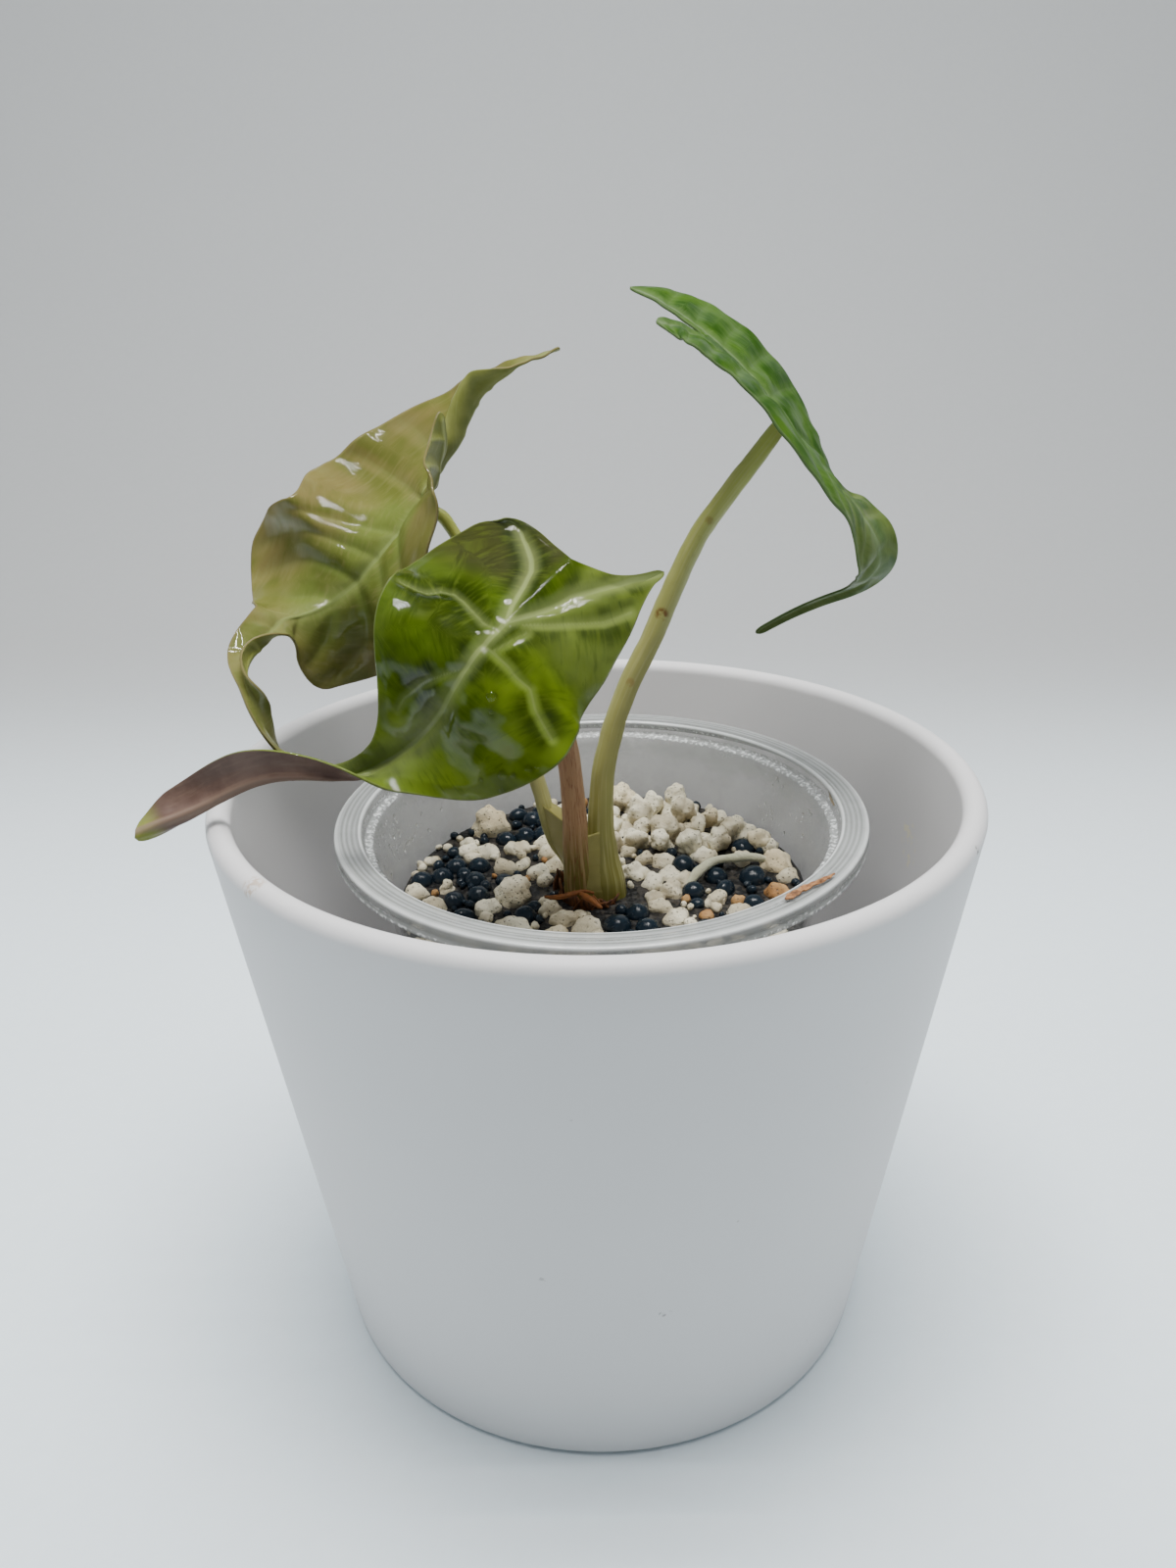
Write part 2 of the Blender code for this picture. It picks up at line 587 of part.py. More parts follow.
def pot(home):
    """The outer pot: a plain tapered wall on a flat base, with a full round rim."""
    rim_z = POT_HEIGHT - POT_RIM_ROUND
    inner_rim = POT_RIM_RADIUS - 2 * POT_RIM_ROUND
    inner_floor = POT_BASE_RADIUS - 4.0
    profile = [(0, POT_FLOOR)]
    profile += arc((inner_floor - 3, POT_FLOOR + 3), 3, -90, -8, 3)
    profile += arc((POT_RIM_RADIUS - POT_RIM_ROUND, rim_z), POT_RIM_ROUND, 180, 0, 6)
    foot = POT_BASE_RADIUS - POT_FOOT_ROUND
    profile += arc((foot, POT_FOOT_ROUND), POT_FOOT_ROUND, -8, -90, 3)
    profile += [(0, 0)]
    return turned("pot", profile, POT_STEPS, home)


def cup_body(home, cup):
    """The clear cup: a thin tapered wall, a sunk ledge and a flange with a lip turned down."""
    top = CUP_HEIGHT
    base = CUP_BASE_RADIUS
    land = CUP_FLANGE_INNER
    edge = CUP_FLANGE_RADIUS
    ledge = top - CUP_LEDGE_DEPTH
    wall = CUP_WALL
    inside = [(0, wall), (base - wall, wall), (39.4, 82), (land - CUP_LEDGE_WIDTH, ledge - 0.6),
              (land - CUP_LEDGE_WIDTH + 0.5, ledge), (land, ledge), (land + 0.3, top)]
    outside = [(edge - 0.7, top), (edge, top - 0.7), (edge, top - CUP_SKIRT),
               (edge - wall, top - CUP_SKIRT), (edge - wall, top - wall),
               (land + 0.3 + wall, top - wall), (land + wall, ledge - wall),
               (land - CUP_LEDGE_WIDTH + 1.1, ledge - wall), (39.4 + wall, 82), (base, 0), (0, 0)]
    return turned("inner_cup", inside + outside, CUP_STEPS, home, cup)


def main():
    for obj in list(bpy.data.objects):
        bpy.data.objects.remove(obj)
    home = collection(PLANT)
    cutters = collection("cutters", shown=False)
    cup = bpy.data.objects.new("cup_frame", None)
    home.objects.link(cup)
    cup.location = Vector(CUP_PLACE) * MM
    cup.rotation_euler = (math.radians(CUP_TILT[0]), math.radians(CUP_TILT[1]), 0)
    pot(home)
    cup_body(home, cup)
    substrate(home, cutters, cup)
    crown(home)
    for name in BLADES:
        petiole(name, blade(name, home), home)
    tube("surface_root", [(*point, ROOT_DIAMETER) for point in ROOT_PATH], home, ROOT_STEP)
    splinter(home, cup)


main()
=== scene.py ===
# %% [markdown]
# # A young alocasia in a clear cup, standing in a white pot
#
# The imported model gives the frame: every object is in metres, the pot's flat base is centred on
# the origin, +Z is up and -Y looks towards the viewer. The CAD solids are plain and light. This
# script puts finer pieces in the same places and gives each one a finish made of shader nodes.

# %% Load the frame
import math
import random

import bmesh
import bpy
from mathutils import Euler, Matrix, Quaternion, Vector, noise


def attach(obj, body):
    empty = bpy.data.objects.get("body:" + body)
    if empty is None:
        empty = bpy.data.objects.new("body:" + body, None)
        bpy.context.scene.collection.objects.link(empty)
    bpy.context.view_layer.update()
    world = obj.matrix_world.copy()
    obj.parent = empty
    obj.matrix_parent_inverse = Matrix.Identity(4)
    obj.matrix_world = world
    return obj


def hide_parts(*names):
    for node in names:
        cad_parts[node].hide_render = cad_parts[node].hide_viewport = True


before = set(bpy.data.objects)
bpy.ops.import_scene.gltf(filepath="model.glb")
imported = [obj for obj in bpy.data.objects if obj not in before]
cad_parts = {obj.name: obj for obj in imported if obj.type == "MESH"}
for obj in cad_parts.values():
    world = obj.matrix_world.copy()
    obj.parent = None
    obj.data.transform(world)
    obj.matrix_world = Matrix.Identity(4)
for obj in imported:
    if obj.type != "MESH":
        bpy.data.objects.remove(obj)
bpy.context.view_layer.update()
MM = 0.001

# %% [markdown]
# ## The camera
#
# The photograph is 1200 by 1600 pixels. The ellipses of the pot's rims and foot gave the place
# of the camera and its field of view: about 29 mm over the long side of a 36 mm sensor, 20 cm
# up and looking 23 degrees down. The three axes of the view go straight into the matrix.

# %% Camera
VIEW_FORWARD = Vector((-0.0029, 0.9213, -0.3887)).normalized()
VIEW_RIGHT = Vector((0.9999, -0.0030, -0.0146)).normalized()
VIEW_PLACE = Vector((-0.706, -218.446, 201.490)) * MM

camera = bpy.data.objects.new("camera", bpy.data.cameras.new("camera"))
bpy.context.scene.collection.objects.link(camera)
camera.data.sensor_width = 36.0
camera.data.lens = 29.27
camera.data.clip_start = 0.01
view_up = VIEW_RIGHT.cross(VIEW_FORWARD)
turned_view = Matrix((VIEW_RIGHT, view_up, -VIEW_FORWARD)).transposed().to_4x4()
camera.matrix_world = Matrix.Translation(VIEW_PLACE) @ turned_view
bpy.context.scene.camera = camera
print("camera looks down", round(math.degrees(math.asin(-VIEW_FORWARD.z)), 1), "degrees")

# %% [markdown]
# ## Node trees written as Python
#
# Wiring nodes by hand soon fills a screen. Here a socket is wrapped in a small class, so that
# `1 - mask * 0.5` adds the Math nodes by itself, and one method adds every other node: its
# type, its settings, then the values or links of its sockets. Shaders and Geometry Nodes share
# it.

# %% A socket that can be calculated with
class Value:
    """A node's output; each operator used on it adds a Math node."""

    def __init__(self, maker, socket):
        self.maker = maker
        self.socket = socket

    def output(self, name):
        """Another output of the same node."""
        return Value(self.maker, self.socket.node.outputs[name])

    def maths(self, operation, *others):
        return self.maker.maths(operation, self, *others)

    def __add__(self, other):
        return self.maker.maths("ADD", self, other)

    def __radd__(self, other):
        return self.maker.maths("ADD", other, self)

    def __sub__(self, other):
        return self.maker.maths("SUBTRACT", self, other)

    def __rsub__(self, other):
        return self.maker.maths("SUBTRACT", other, self)

    def __mul__(self, other):
        return self.maker.maths("MULTIPLY", self, other)

    def __rmul__(self, other):
        return self.maker.maths("MULTIPLY", other, self)

    def __truediv__(self, other):
        return self.maker.maths("DIVIDE", self, other)

    def __pow__(self, other):
        return self.maker.maths("POWER", self, other)


# %% One way to add any node
class Maker:
    """Adds nodes to one tree."""

    def __init__(self, tree):
        self.tree = tree

    def add(self, kind, settings=None, values=None, out=0):
        made = self.tree.nodes.new(kind)
        for name, value in (settings or {}).items():
            if name == "stops":
                stops = made.color_ramp.elements
                while len(stops) < len(value):
                    stops.new(1.0)
                for stop, (place, colour) in zip(stops, value):
                    stop.position = place
                    stop.color = (*colour, 1.0)
            else:
                setattr(made, name, value)
        for name, value in (values or {}).items():
            self.fill(made.inputs[name], value)
        return Value(self, made.outputs[out])

    def fill(self, socket, value):
        """Links a Value to the socket, or sets the socket to a plain value."""
        if isinstance(value, Value):
            self.tree.links.new(value.socket, socket)
        elif socket.type == "RGBA" and len(value) == 3:
            socket.default_value = (*value, 1.0)
        else:
            socket.default_value = value

    def maths(self, operation, *terms):
        return self.add("ShaderNodeMath", {"operation": operation}, dict(enumerate(terms)))

    def step(self, value, low, high):
        """0 below low, 1 above high, and a soft rise between them."""
        flipped = low > high
        ends = (high, low) if flipped else (low, high)
        values = {"Value": value, "From Min": ends[0], "From Max": ends[1]}
        soft = self.add("ShaderNodeMapRange", {"interpolation_type": "SMOOTHSTEP"}, values)
        return 1.0 - soft if flipped else soft


# %% Finishes
class Finish(Maker):
    """A material: patterns are built on it, then handed to the Principled shader's sockets."""

    def __init__(self, name):
        self.material = bpy.data.materials.new(name)
        self.material.use_nodes = True
        super().__init__(self.material.node_tree)
        self.shader = self.tree.nodes["Principled BSDF"]
        self.where = self.add("ShaderNodeTexCoord", out="Object")

    def attribute(self, name, out="Fac"):
        return self.add("ShaderNodeAttribute", {"attribute_name": name}, out=out)

    def noise(self, size, detail=3.0, roughness=0.5, vector=None, distortion=0.0):
        """Noise with spots about size millimetres across."""
        values = {"Vector": vector or self.where, "Scale": 1000.0 / size, "Detail": detail,
                  "Roughness": roughness, "Distortion": distortion}
        return self.add("ShaderNodeTexNoise", None, values, "Fac")

    def cells(self, size, feature="F1", vector=None, out="Distance"):
        """Voronoi cells about size millimetres across."""
        values = {"Vector": vector or self.where, "Scale": 1000.0 / size}
        return self.add("ShaderNodeTexVoronoi", {"feature": feature}, values, out)

    def near(self, place, radius, soft=0.5):
        """1 round a place given in millimetres, 0 further off than radius."""
        values = {0: self.where, 1: tuple(value * MM for value in place)}
        away = self.add("ShaderNodeVectorMath", {"operation": "DISTANCE"}, values, "Value")
        return self.step(away, radius * MM, radius * soft * MM)

    def mix(self, factor, first, second):
        """A colour between two colours."""
        values = {0: factor, 6: first, 7: second}
        return self.add("ShaderNodeMix", {"data_type": "RGBA"}, values, 2)

    def bump(self, height, depth, strength=1.0, over=None):
        """A normal bent by a height; depth is the bump's depth in millimetres."""
        values = {"Height": height, "Distance": depth * MM, "Strength": strength}
        if over is not None:
            values["Normal"] = over
        return self.add("ShaderNodeBump", None, values)

    def use(self, values):
        """Hands the values to the shader and returns the material."""
        for name, value in values.items():
            self.fill(self.shader.inputs[name], value)
        return self.material


def colour(red, green, blue):
    """The scene's linear colour for a colour read off a screen, 0 to 255."""
    return tuple(((value / 255 + 0.055) / 1.055) ** 2.4 for value in (red, green, blue))


# %% Geometry Nodes recipes
class Recipe(Maker):
    """A Geometry Nodes tree with named inputs."""

    def __init__(self, name, inputs):
        super().__init__(bpy.data.node_groups.new(name, "GeometryNodeTree"))
        sockets = {"Geometry": "NodeSocketGeometry", **inputs}
        for label, kind in sockets.items():
            self.tree.interface.new_socket(label, in_out="INPUT", socket_type=kind)
        self.tree.interface.new_socket(
            "Geometry", in_out="OUTPUT", socket_type="NodeSocketGeometry")
        start = self.tree.nodes.new("NodeGroupInput")
        self.given = {label: Value(self, start.outputs[label]) for label in sockets}

    def end(self, geometry):
        """Closes the tree: real geometry, smooth, with the given material."""
        real = self.add("GeometryNodeRealizeInstances", None, {0: geometry})
        smooth_faces = self.add("GeometryNodeSetShadeSmooth", None, {0: real})
        values = {"Geometry": smooth_faces, "Material": self.given["Material"]}
        dressed = self.add("GeometryNodeSetMaterial", None, values)
        stop = self.tree.nodes.new("NodeGroupOutput")
        self.fill(stop.inputs[0], dressed)

    def run(self, name, mesh, values):
        """Runs the tree on a mesh and returns an object with the plain result."""
        source = bpy.data.objects.new(name + "_source", mesh)
        bpy.context.scene.collection.objects.link(source)
        modifier = source.modifiers.new("recipe", "NODES")
        modifier.node_group = self.tree
        for item in self.tree.interface.items_tree:
            if item.in_out == "INPUT" and item.name in values:
                modifier[item.identifier] = values[item.name]
        bpy.context.view_layer.update()
        seen = source.evaluated_get(bpy.context.evaluated_depsgraph_get())
        result = bpy.data.meshes.new_from_object(seen)
        bpy.data.objects.remove(source)
        return place(name, result)


def place(name, mesh, *materials):
    """A new object at the origin for a mesh that is already in its place."""
    made = bpy.data.objects.new(name, mesh)
    bpy.context.scene.collection.objects.link(made)
    for material in materials:
        mesh.materials.append(material)
    return made


def hand_over(piece, node, slot, hides=True):
    """Ties a finished piece to the frame: it rides on the pot's body and, unless told not to, hides
    its node's CAD part.
    """
    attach(piece, "root")
    if hides:
        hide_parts(node)
    faces = sum(len(polygon.vertices) - 2 for polygon in piece.data.polygons)
    print(piece.name, faces, "triangles")


# %% [markdown]
# ## The table and the light
#
# The plant stood in a white photo tent: a pale floor that curves up into a pale wall, soft light
# from above, and narrow strips of lamps in the roof that show as thin bright lines in the wet
# leaves. One profile swept sideways makes floor and wall without a corner, and the wall is
# painted darker than the floor as painted shade.

# %% Floor and wall
def sweep_floor():
    profile = [(-1.6, 0.0), (0.35, 0.0)]
    profile += [(0.35 + 0.4 * math.sin(a), 0.4 - 0.4 * math.cos(a))
                for a in (math.radians(step * 5) for step in range(1, 18))]
    profile += [(0.75, 0.42), (0.75, 2.6)]
    mesh = bmesh.new()
    rows = [[mesh.verts.new((x, y, z)) for y, z in profile] for x in (-2.2, 2.2)]
    for i in range(len(profile) - 1):
        mesh.faces.new((rows[0][i], rows[1][i], rows[1][i + 1], rows[0][i + 1]))
    for face in mesh.faces:
        face.smooth = True
    made = bpy.data.meshes.new("floor")
    mesh.to_mesh(made)
    mesh.free()
    finish = Finish("tent_cloth")
    grain = finish.noise(4.0, 4.0)
    depth = finish.add("ShaderNodeSeparateXYZ", None, {0: finish.where}, "Y")
    ground = finish.mix(grain, (0.77, 0.86, 0.91), (0.81, 0.90, 0.95))
    # The wall colour is painted about half as bright as the floor colour: painted shade on the upright
    # cloth, which gets less light.
    wall = finish.mix(grain, (0.415, 0.425, 0.428), (0.435, 0.445, 0.448))
    return place("floor", made, finish.use({
        "Base Color": finish.mix(finish.step(depth, 0.10, 0.46), ground, wall),
        "Roughness": 0.9,
        "Normal": finish.bump(grain, 0.15, 0.3),
    }))


floor = sweep_floor()


# %% Lamps
def lamp(name, spot, size, power, tint):
    """A rectangular lamp at a place in metres, looking down at the plant."""
    light = bpy.data.lights.new(name, "AREA")
    light.shape = "RECTANGLE"
    light.size, light.size_y = size
    light.energy = power
    light.color = tint
    made = bpy.data.objects.new(name, light)
    bpy.context.scene.collection.objects.link(made)
    made.location = spot
    aim = Vector((0.0, 0.0, 0.1)) - Vector(spot)
    made.rotation_euler = aim.to_track_quat("-Z", "Y").to_euler()
    return made


roof = lamp("tent_roof", (0.0, 0.12, 1.05), (0.9, 0.9), 14.0, (0.98, 0.99, 1.0))
for spot in (-1.0, 1.0):
    wall = lamp("tent_wall", (spot, 0.05, 0.45), (1.0, 0.8), 2.5, (0.94, 0.98, 1.0))
    wall.visible_glossy = False
roof.visible_glossy = False
for spot in (-0.16, -0.10, -0.04, 0.03):
    lamp("strip", (0.0, spot, 0.80), (0.42, 0.004), 1.5, (1.0, 0.98, 0.95))

world = bpy.data.worlds.new("tent")
world.use_nodes = True
bpy.context.scene.world = world
world.node_tree.nodes["Background"].inputs["Color"].default_value = (0.86, 0.91, 0.94, 1.0)
world.node_tree.nodes["Background"].inputs["Strength"].default_value = 0.20

# %% [markdown]
# ## The white pot
#
# The pot is glazed matte white. It is turned from the same profile as the CAD solid, in 192
# steps, so that its rim is a clean round. Real glaze is never even: it gets faint clouds, pin
# specks, a dark nick on the rim and a few scuffs, each placed where it sits on the real one.

# %% Turning a profile
def arc(centre, radius, start, end, steps):
    """Points (radius, z) on an arc of a profile, angles in degrees."""
    angles = [math.radians(start + (end - start) * step / steps) for step in range(steps + 1)]
    return [(centre[0] + radius * math.cos(a), centre[1] + radius * math.sin(a)) for a in angles]


def turned(profile, steps, matrix=None):
    """A closed mesh turned round Z from a profile in millimetres that ends on the axis."""
    mesh = bmesh.new()
    verts = [mesh.verts.new((radius * MM, 0, z * MM)) for radius, z in profile]
    edges = [mesh.edges.new(pair) for pair in zip(verts, verts[1:])]
    bmesh.ops.spin(mesh, geom=verts + edges, angle=math.tau, steps=steps, axis=(0, 0, 1),
                   cent=(0, 0, 0), use_merge=True)
    bmesh.ops.remove_doubles(mesh, verts=mesh.verts, dist=0.00001)
    bmesh.ops.recalc_face_normals(mesh, faces=mesh.faces)
    for face in mesh.faces:
        face.smooth = True
    if matrix:
        bmesh.ops.transform(mesh, matrix=matrix, verts=mesh.verts)
    return mesh


def finished(name, mesh, *materials):
    """An object from a bmesh."""
    made = bpy.data.meshes.new(name)
    mesh.to_mesh(made)
    mesh.free()
    return place(name, made, *materials)


# %% Pot
POT_HEIGHT, POT_BASE, POT_RIM, RIM_ROUND, POT_FLOOR = 112.3, 53.6, 70.0, 2.2, 6.0


def pot_profile():
    rim_z = POT_HEIGHT - RIM_ROUND
    inner_rim = POT_RIM - 2 * RIM_ROUND
    inner_base = POT_BASE - 4.0
    profile = [(0, POT_FLOOR), (20, POT_FLOOR), (35, POT_FLOOR)]
    profile += arc((inner_base - 3, POT_FLOOR + 3), 3, -90, -8, 6)
    profile += [(inner_base + (inner_rim - inner_base) * t / 12,
                 POT_FLOOR + 3 + (rim_z - POT_FLOOR - 3) * t / 12) for t in range(1, 12)]
    profile += arc((POT_RIM - RIM_ROUND, rim_z), RIM_ROUND, 180, 0, 14)
    profile += [(POT_RIM + (POT_BASE - POT_RIM) * t / 12,
                 rim_z + (2.0 - rim_z) * t / 12) for t in range(1, 12)]
    profile += arc((POT_BASE - 2.0, 2.0), 2.0, -8, -90, 6)
    return profile + [(48.0, 0.0), (47.0, 0.6), (40.0, 0.7), (0, 0.7)]


def pot_finish():
    finish = Finish("matte_glaze")
    clouds = finish.noise(38.0, 2.0)
    fine = finish.noise(0.7, 2.0)
    speck_size = finish.noise(9.0, 1.0)
    specks = finish.step(finish.cells(6.0), 0.05, 0.02) * finish.step(speck_size, 0.56, 0.62)
    marks = finish.near((61.6, -33.6, 111.0), 1.1)
    marks = marks.maths("MAXIMUM", finish.near((9.7, -58.5, 38.5), 0.9) * 0.75)
    marks = marks.maths("MAXIMUM", finish.near((11.0, -58.5, 38.9), 0.6) * 0.5)
    marks = marks.maths("MAXIMUM", finish.near((-9.9, -59.8, 47.7), 1.0) * 0.35)
    rough_edge = finish.step(finish.noise(0.9, 3.0), 0.42, 0.6)
    tan = finish.near((-53.0, -44.0, 111.8), 2.6) * rough_edge
    scale = finish.near((61.9, 8.4, 90.5), 4.2) * finish.step(finish.noise(1.6, 4.0), 0.5, 0.62)
    scale = scale.maths("MAXIMUM", finish.near((62.0, 11.0, 93.0), 3.6)
                        * finish.step(finish.noise(1.3, 4.0), 0.5, 0.6))
    stretched = finish.add("ShaderNodeMapping", None, {
        "Vector": finish.where, "Rotation": (0.0, math.radians(18), 0.0),
        "Scale": (0.16, 1.0, 1.6)})
    scratch = finish.step(finish.noise(1.1, 2.0, vector=stretched), 0.66, 0.72)
    scratch = scratch * finish.near((40.8, -50.8, 77.7), 9.0)
    body = finish.mix(clouds, (0.625, 0.618, 0.622), (0.665, 0.658, 0.662))
    body = finish.mix(specks * 0.45, body, (0.30, 0.28, 0.27))
    body = finish.mix(scratch * 0.35, body, (0.55, 0.53, 0.52))
    body = finish.mix(marks * rough_edge, body, (0.10, 0.085, 0.08))
    body = finish.mix(tan * 0.6, body, (0.42, 0.29, 0.17))
    body = finish.mix(scale * 0.7, body, (0.78, 0.74, 0.55))
    grain = fine * 0.4 + finish.noise(5.0, 2.0) * 0.6 - marks * 0.8
    return finish.use({
        "Base Color": body,
        "Roughness": 0.42 + clouds * 0.16 + scale * 0.2,
        "Specular IOR Level": 0.4,
        "Normal": finish.bump(grain, 0.06, 0.5),
    })


pot = finished("pot_glazed", turned(pot_profile(), 192), pot_finish())
hand_over(pot, "pot", "pot")

# %% [markdown]
# ## The clear cup
#
# A thin plastic cup hangs in the pot by its flange. It is cloudy rather than clear, so the
# finish mixes see-through with a pale, fairly glossy plastic by the shader's Alpha: a noise makes
# it denser in places, as scale and damp do. The cup leans a little, so its profile is turned
# upright and the mesh is then tilted into the pot.

# %% Cup
CUP_HEIGHT, CUP_BASE, CUP_WALL = 98.0, 28.0, 0.8
CUP_EDGE, CUP_LAND, CUP_LEDGE_DEPTH, CUP_LEDGE_WIDTH, CUP_SKIRT = 49.0, 43.7, 2.6, 1.6, 3.2
CUP_FRAME = (Matrix.Translation(Vector((1.9, 0.7, 7.15)) * MM)
             @ Euler((math.radians(1.5), math.radians(-0.6), 0)).to_matrix().to_4x4())


def cup_profile():
    ledge = CUP_HEIGHT - CUP_LEDGE_DEPTH
    top, edge, land, wall = CUP_HEIGHT, CUP_EDGE, CUP_LAND, CUP_WALL
    inside = [(0, wall), (12, wall), (CUP_BASE - wall - 1, wall), (CUP_BASE - wall, wall + 1)]
    inside += [(CUP_BASE - wall + (39.4 - CUP_BASE + wall) * t / 16, wall + 1 + (81 - wall) * t / 16)
               for t in range(1, 17)]
    inside += [(land - CUP_LEDGE_WIDTH - 0.15, ledge - 1.0), (land - CUP_LEDGE_WIDTH, ledge - 0.35),
               (land - CUP_LEDGE_WIDTH + 0.35, ledge), (land - 0.35, ledge), (land, ledge + 0.4),
               (land + 0.25, top - 0.5), (land + 0.75, top)]
    flange = [(land + 1.4, top), (land + 1.7, top - 0.22), (land + 2.2, top - 0.25),
              (land + 2.5, top - 0.02)]
    flange += arc((edge - 0.7, top - 0.7), 0.7, 90, 0, 5)
    skirt = [(edge, top - 1.5), (edge - 0.18, top - 1.7), (edge - 0.18, top - 2.1),
             (edge, top - 2.3), (edge, top - CUP_SKIRT + 0.25), (edge - 0.2, top - CUP_SKIRT),
             (edge - wall, top - CUP_SKIRT), (edge - wall, top - wall - 0.4),
             (edge - wall - 0.4, top - wall)]
    outside = [(land + 0.3 + wall, top - wall), (land + wall, ledge - wall),
               (land - CUP_LEDGE_WIDTH + 1.1, ledge - wall)]
    outside += [(39.4 + wall + (CUP_BASE - 39.4 - wall) * t / 8, 82 - 81 * t / 8) for t in range(9)]
    return inside + flange + skirt + outside + [(CUP_BASE - 0.6, 0), (12, 0), (0, 0)]


def cup_mesh():
    """The turned cup; each point keeps its radius and height in the cup's own frame."""
    mesh = turned(cup_profile(), 256)
    own = mesh.verts.layers.float_vector.new("own")
    for vert in mesh.verts:
        vert[own] = Vector((vert.co.xy.length / MM, vert.co.z / MM, 0.0))
    bmesh.ops.transform(mesh, matrix=CUP_FRAME, verts=mesh.verts)
    return mesh


def cup_finish():
    finish = Finish("cloudy_plastic")
    radius = finish.add(
        "ShaderNodeSeparateXYZ", None, {0: finish.attribute("own", "Vector")}, "X")
    height = radius.output("Y")
    haze = finish.noise(9.0, 4.0, 0.6)
    frost = finish.noise(0.5, 3.0, 0.7)
    fine_rings = finish.add("ShaderNodeTexWave", {
        "wave_type": "BANDS", "bands_direction": "X"}, {
        "Vector": finish.attribute("own", "Vector"), "Scale": 0.35, "Distortion": 0.6}, "Fac")
    flange = finish.step(height, 97.0, 97.6) * finish.step(radius, 43.6, 44.0)
    skirt = finish.step(radius, 48.0, 48.3) * finish.step(height, 97.4, 97.0)
    rings = finish.step((radius - 44.35).maths("ABSOLUTE"), 0.42, 0.1)
    rings = rings.maths("MAXIMUM", finish.step((radius - 48.55).maths("ABSOLUTE"), 0.45, 0.15))
    rings = rings * finish.step(height, 97.0, 97.6)
    ledge = finish.step((height - 95.3).maths("ABSOLUTE"), 0.5, 0.1)
    ledge = ledge * finish.step(radius, 41.6, 41.9)
    bead = ledge * finish.step(finish.noise(0.9, 2.0), 0.46, 0.64)
    damp = finish.step(haze, 0.40, 0.62)
    below = finish.step(height, 89.0, 94.6) * finish.step(height, 95.2, 94.7)
    alpha = 0.17 + damp * 0.10 + frost * 0.06 + flange * 0.44 + skirt * 0.30
    alpha = alpha + rings * 0.14 + ledge * 0.30 + bead * 0.3 + below * 0.18
    alpha = alpha + fine_rings * flange * 0.10
    white = finish.mix(haze, (0.33, 0.35, 0.34), (0.45, 0.47, 0.46))
    white = finish.mix(flange, white, (0.27, 0.285, 0.275))
    # The rings at the flange's inner and outer edges and the fine rings on the flange are painted
    # near-white: painted highlights.
    painted_highlight = rings * 0.45 + fine_rings * flange * 0.25
    return finish.use({
        # The beads along the ledge get the same near-white: partly whitish frost, partly painted
        # glints.
        "Base Color": finish.mix(painted_highlight.maths("MAXIMUM", bead), white, (0.86, 0.89, 0.89)),
        "Roughness": 0.10 + frost * 0.22,
        "Alpha": alpha.maths("MINIMUM", 1.0),
        "Specular IOR Level": 0.9,
        "Normal": finish.bump(frost * 0.4 + bead * 0.8 + fine_rings * 0.3, 0.14, 0.6),
    })


cup = finished("cup_plastic", cup_mesh(), cup_finish())
hand_over(cup, "inner_cup", "inner_cup")

# %% [markdown]
# ## The bed of stones
#
# The cup is filled with pumice, glossy dark pellets and a few tan chips. The CAD bed used one
# rule to place them: the stones that stand out in the photograph first, then seeded ones in the
# gaps. The same rule runs here with the same seed, so every finer stone lies on its CAD one, and
# a second round of crumbs fills what is left between them.

# %% Where the stones lie
BED_TOP, BED_HEAP = 81.6, 1.6
LANDMARKS = [
    (-24.5, 27.0, 3.9, 1.5, "cream"), (-17.0, -1.0, 4.2, 1.0, "pumice"),
    (-16.5, -14.0, 3.5, 0.9, "pumice"), (-10.5, -4.0, 2.3, 1.1, "tan"),
    (-17.0, 16.5, 3.2, 0.7, "pumice"), (-30.0, 2.0, 2.1, 1.0, "pumice"),
    (17.0, 30.5, 4.3, 0.9, "pumice"), (30.5, 20.5, 3.6, 0.9, "pumice"),
    (5.5, 20.5, 3.1, 0.9, "pumice"), (7.5, 32.5, 3.3, 0.9, "pumice"),
    (24.5, 26.0, 2.8, 1.0, "pumice"), (21.5, 16.0, 2.9, 0.8, "pumice"),
    (15.5, 19.0, 2.7, 0.9, "pumice"), (34.0, 7.0, 3.3, 1.0, "cream"),
    (33.0, -4.5, 2.8, 0.8, "tan"), (29.0, 1.5, 2.8, 1.0, "pellet"),
    (28.5, 13.5, 2.6, 0.8, "pellet"), (16.0, 7.0, 2.5, 1.0, "pellet"),
    (21.0, -6.0, 2.4, 1.0, "pumice"), (13.0, -2.5, 2.5, 1.0, "pumice"),
    (2.5, -13.5, 2.6, 0.9, "pellet"), (-8.5, -16.0, 2.4, 0.8, "cream"),
]
PELLET_PATCHES = [(-28.0, 3.0, 8.0), (25.0, -2.0, 8.5), (2.5, -13.0, 5.0), (-15.0, 25.0, 6.0)]
DARK_PATCHES = [(-24.0, -4.0, 12.0), (24.0, -8.0, 12.0), (4.0, -16.0, 7.0), (-15.0, 25.0, 7.0)]
CROWN_CENTRE, CROWN_RADIUS = Vector((-1.2, -2.2)), 6.0
CUP_LIMIT = 28.0 - 0.8 + (39.4 - 27.2) * (BED_TOP - 0.8) / 81.2 - 0.3 - 0.9


def bed_height(x, y):
    """Top of the bed between the stones, in the cup's own frame."""
    return BED_TOP + BED_HEAP * (0.4 * x + 0.9 * y) / 40


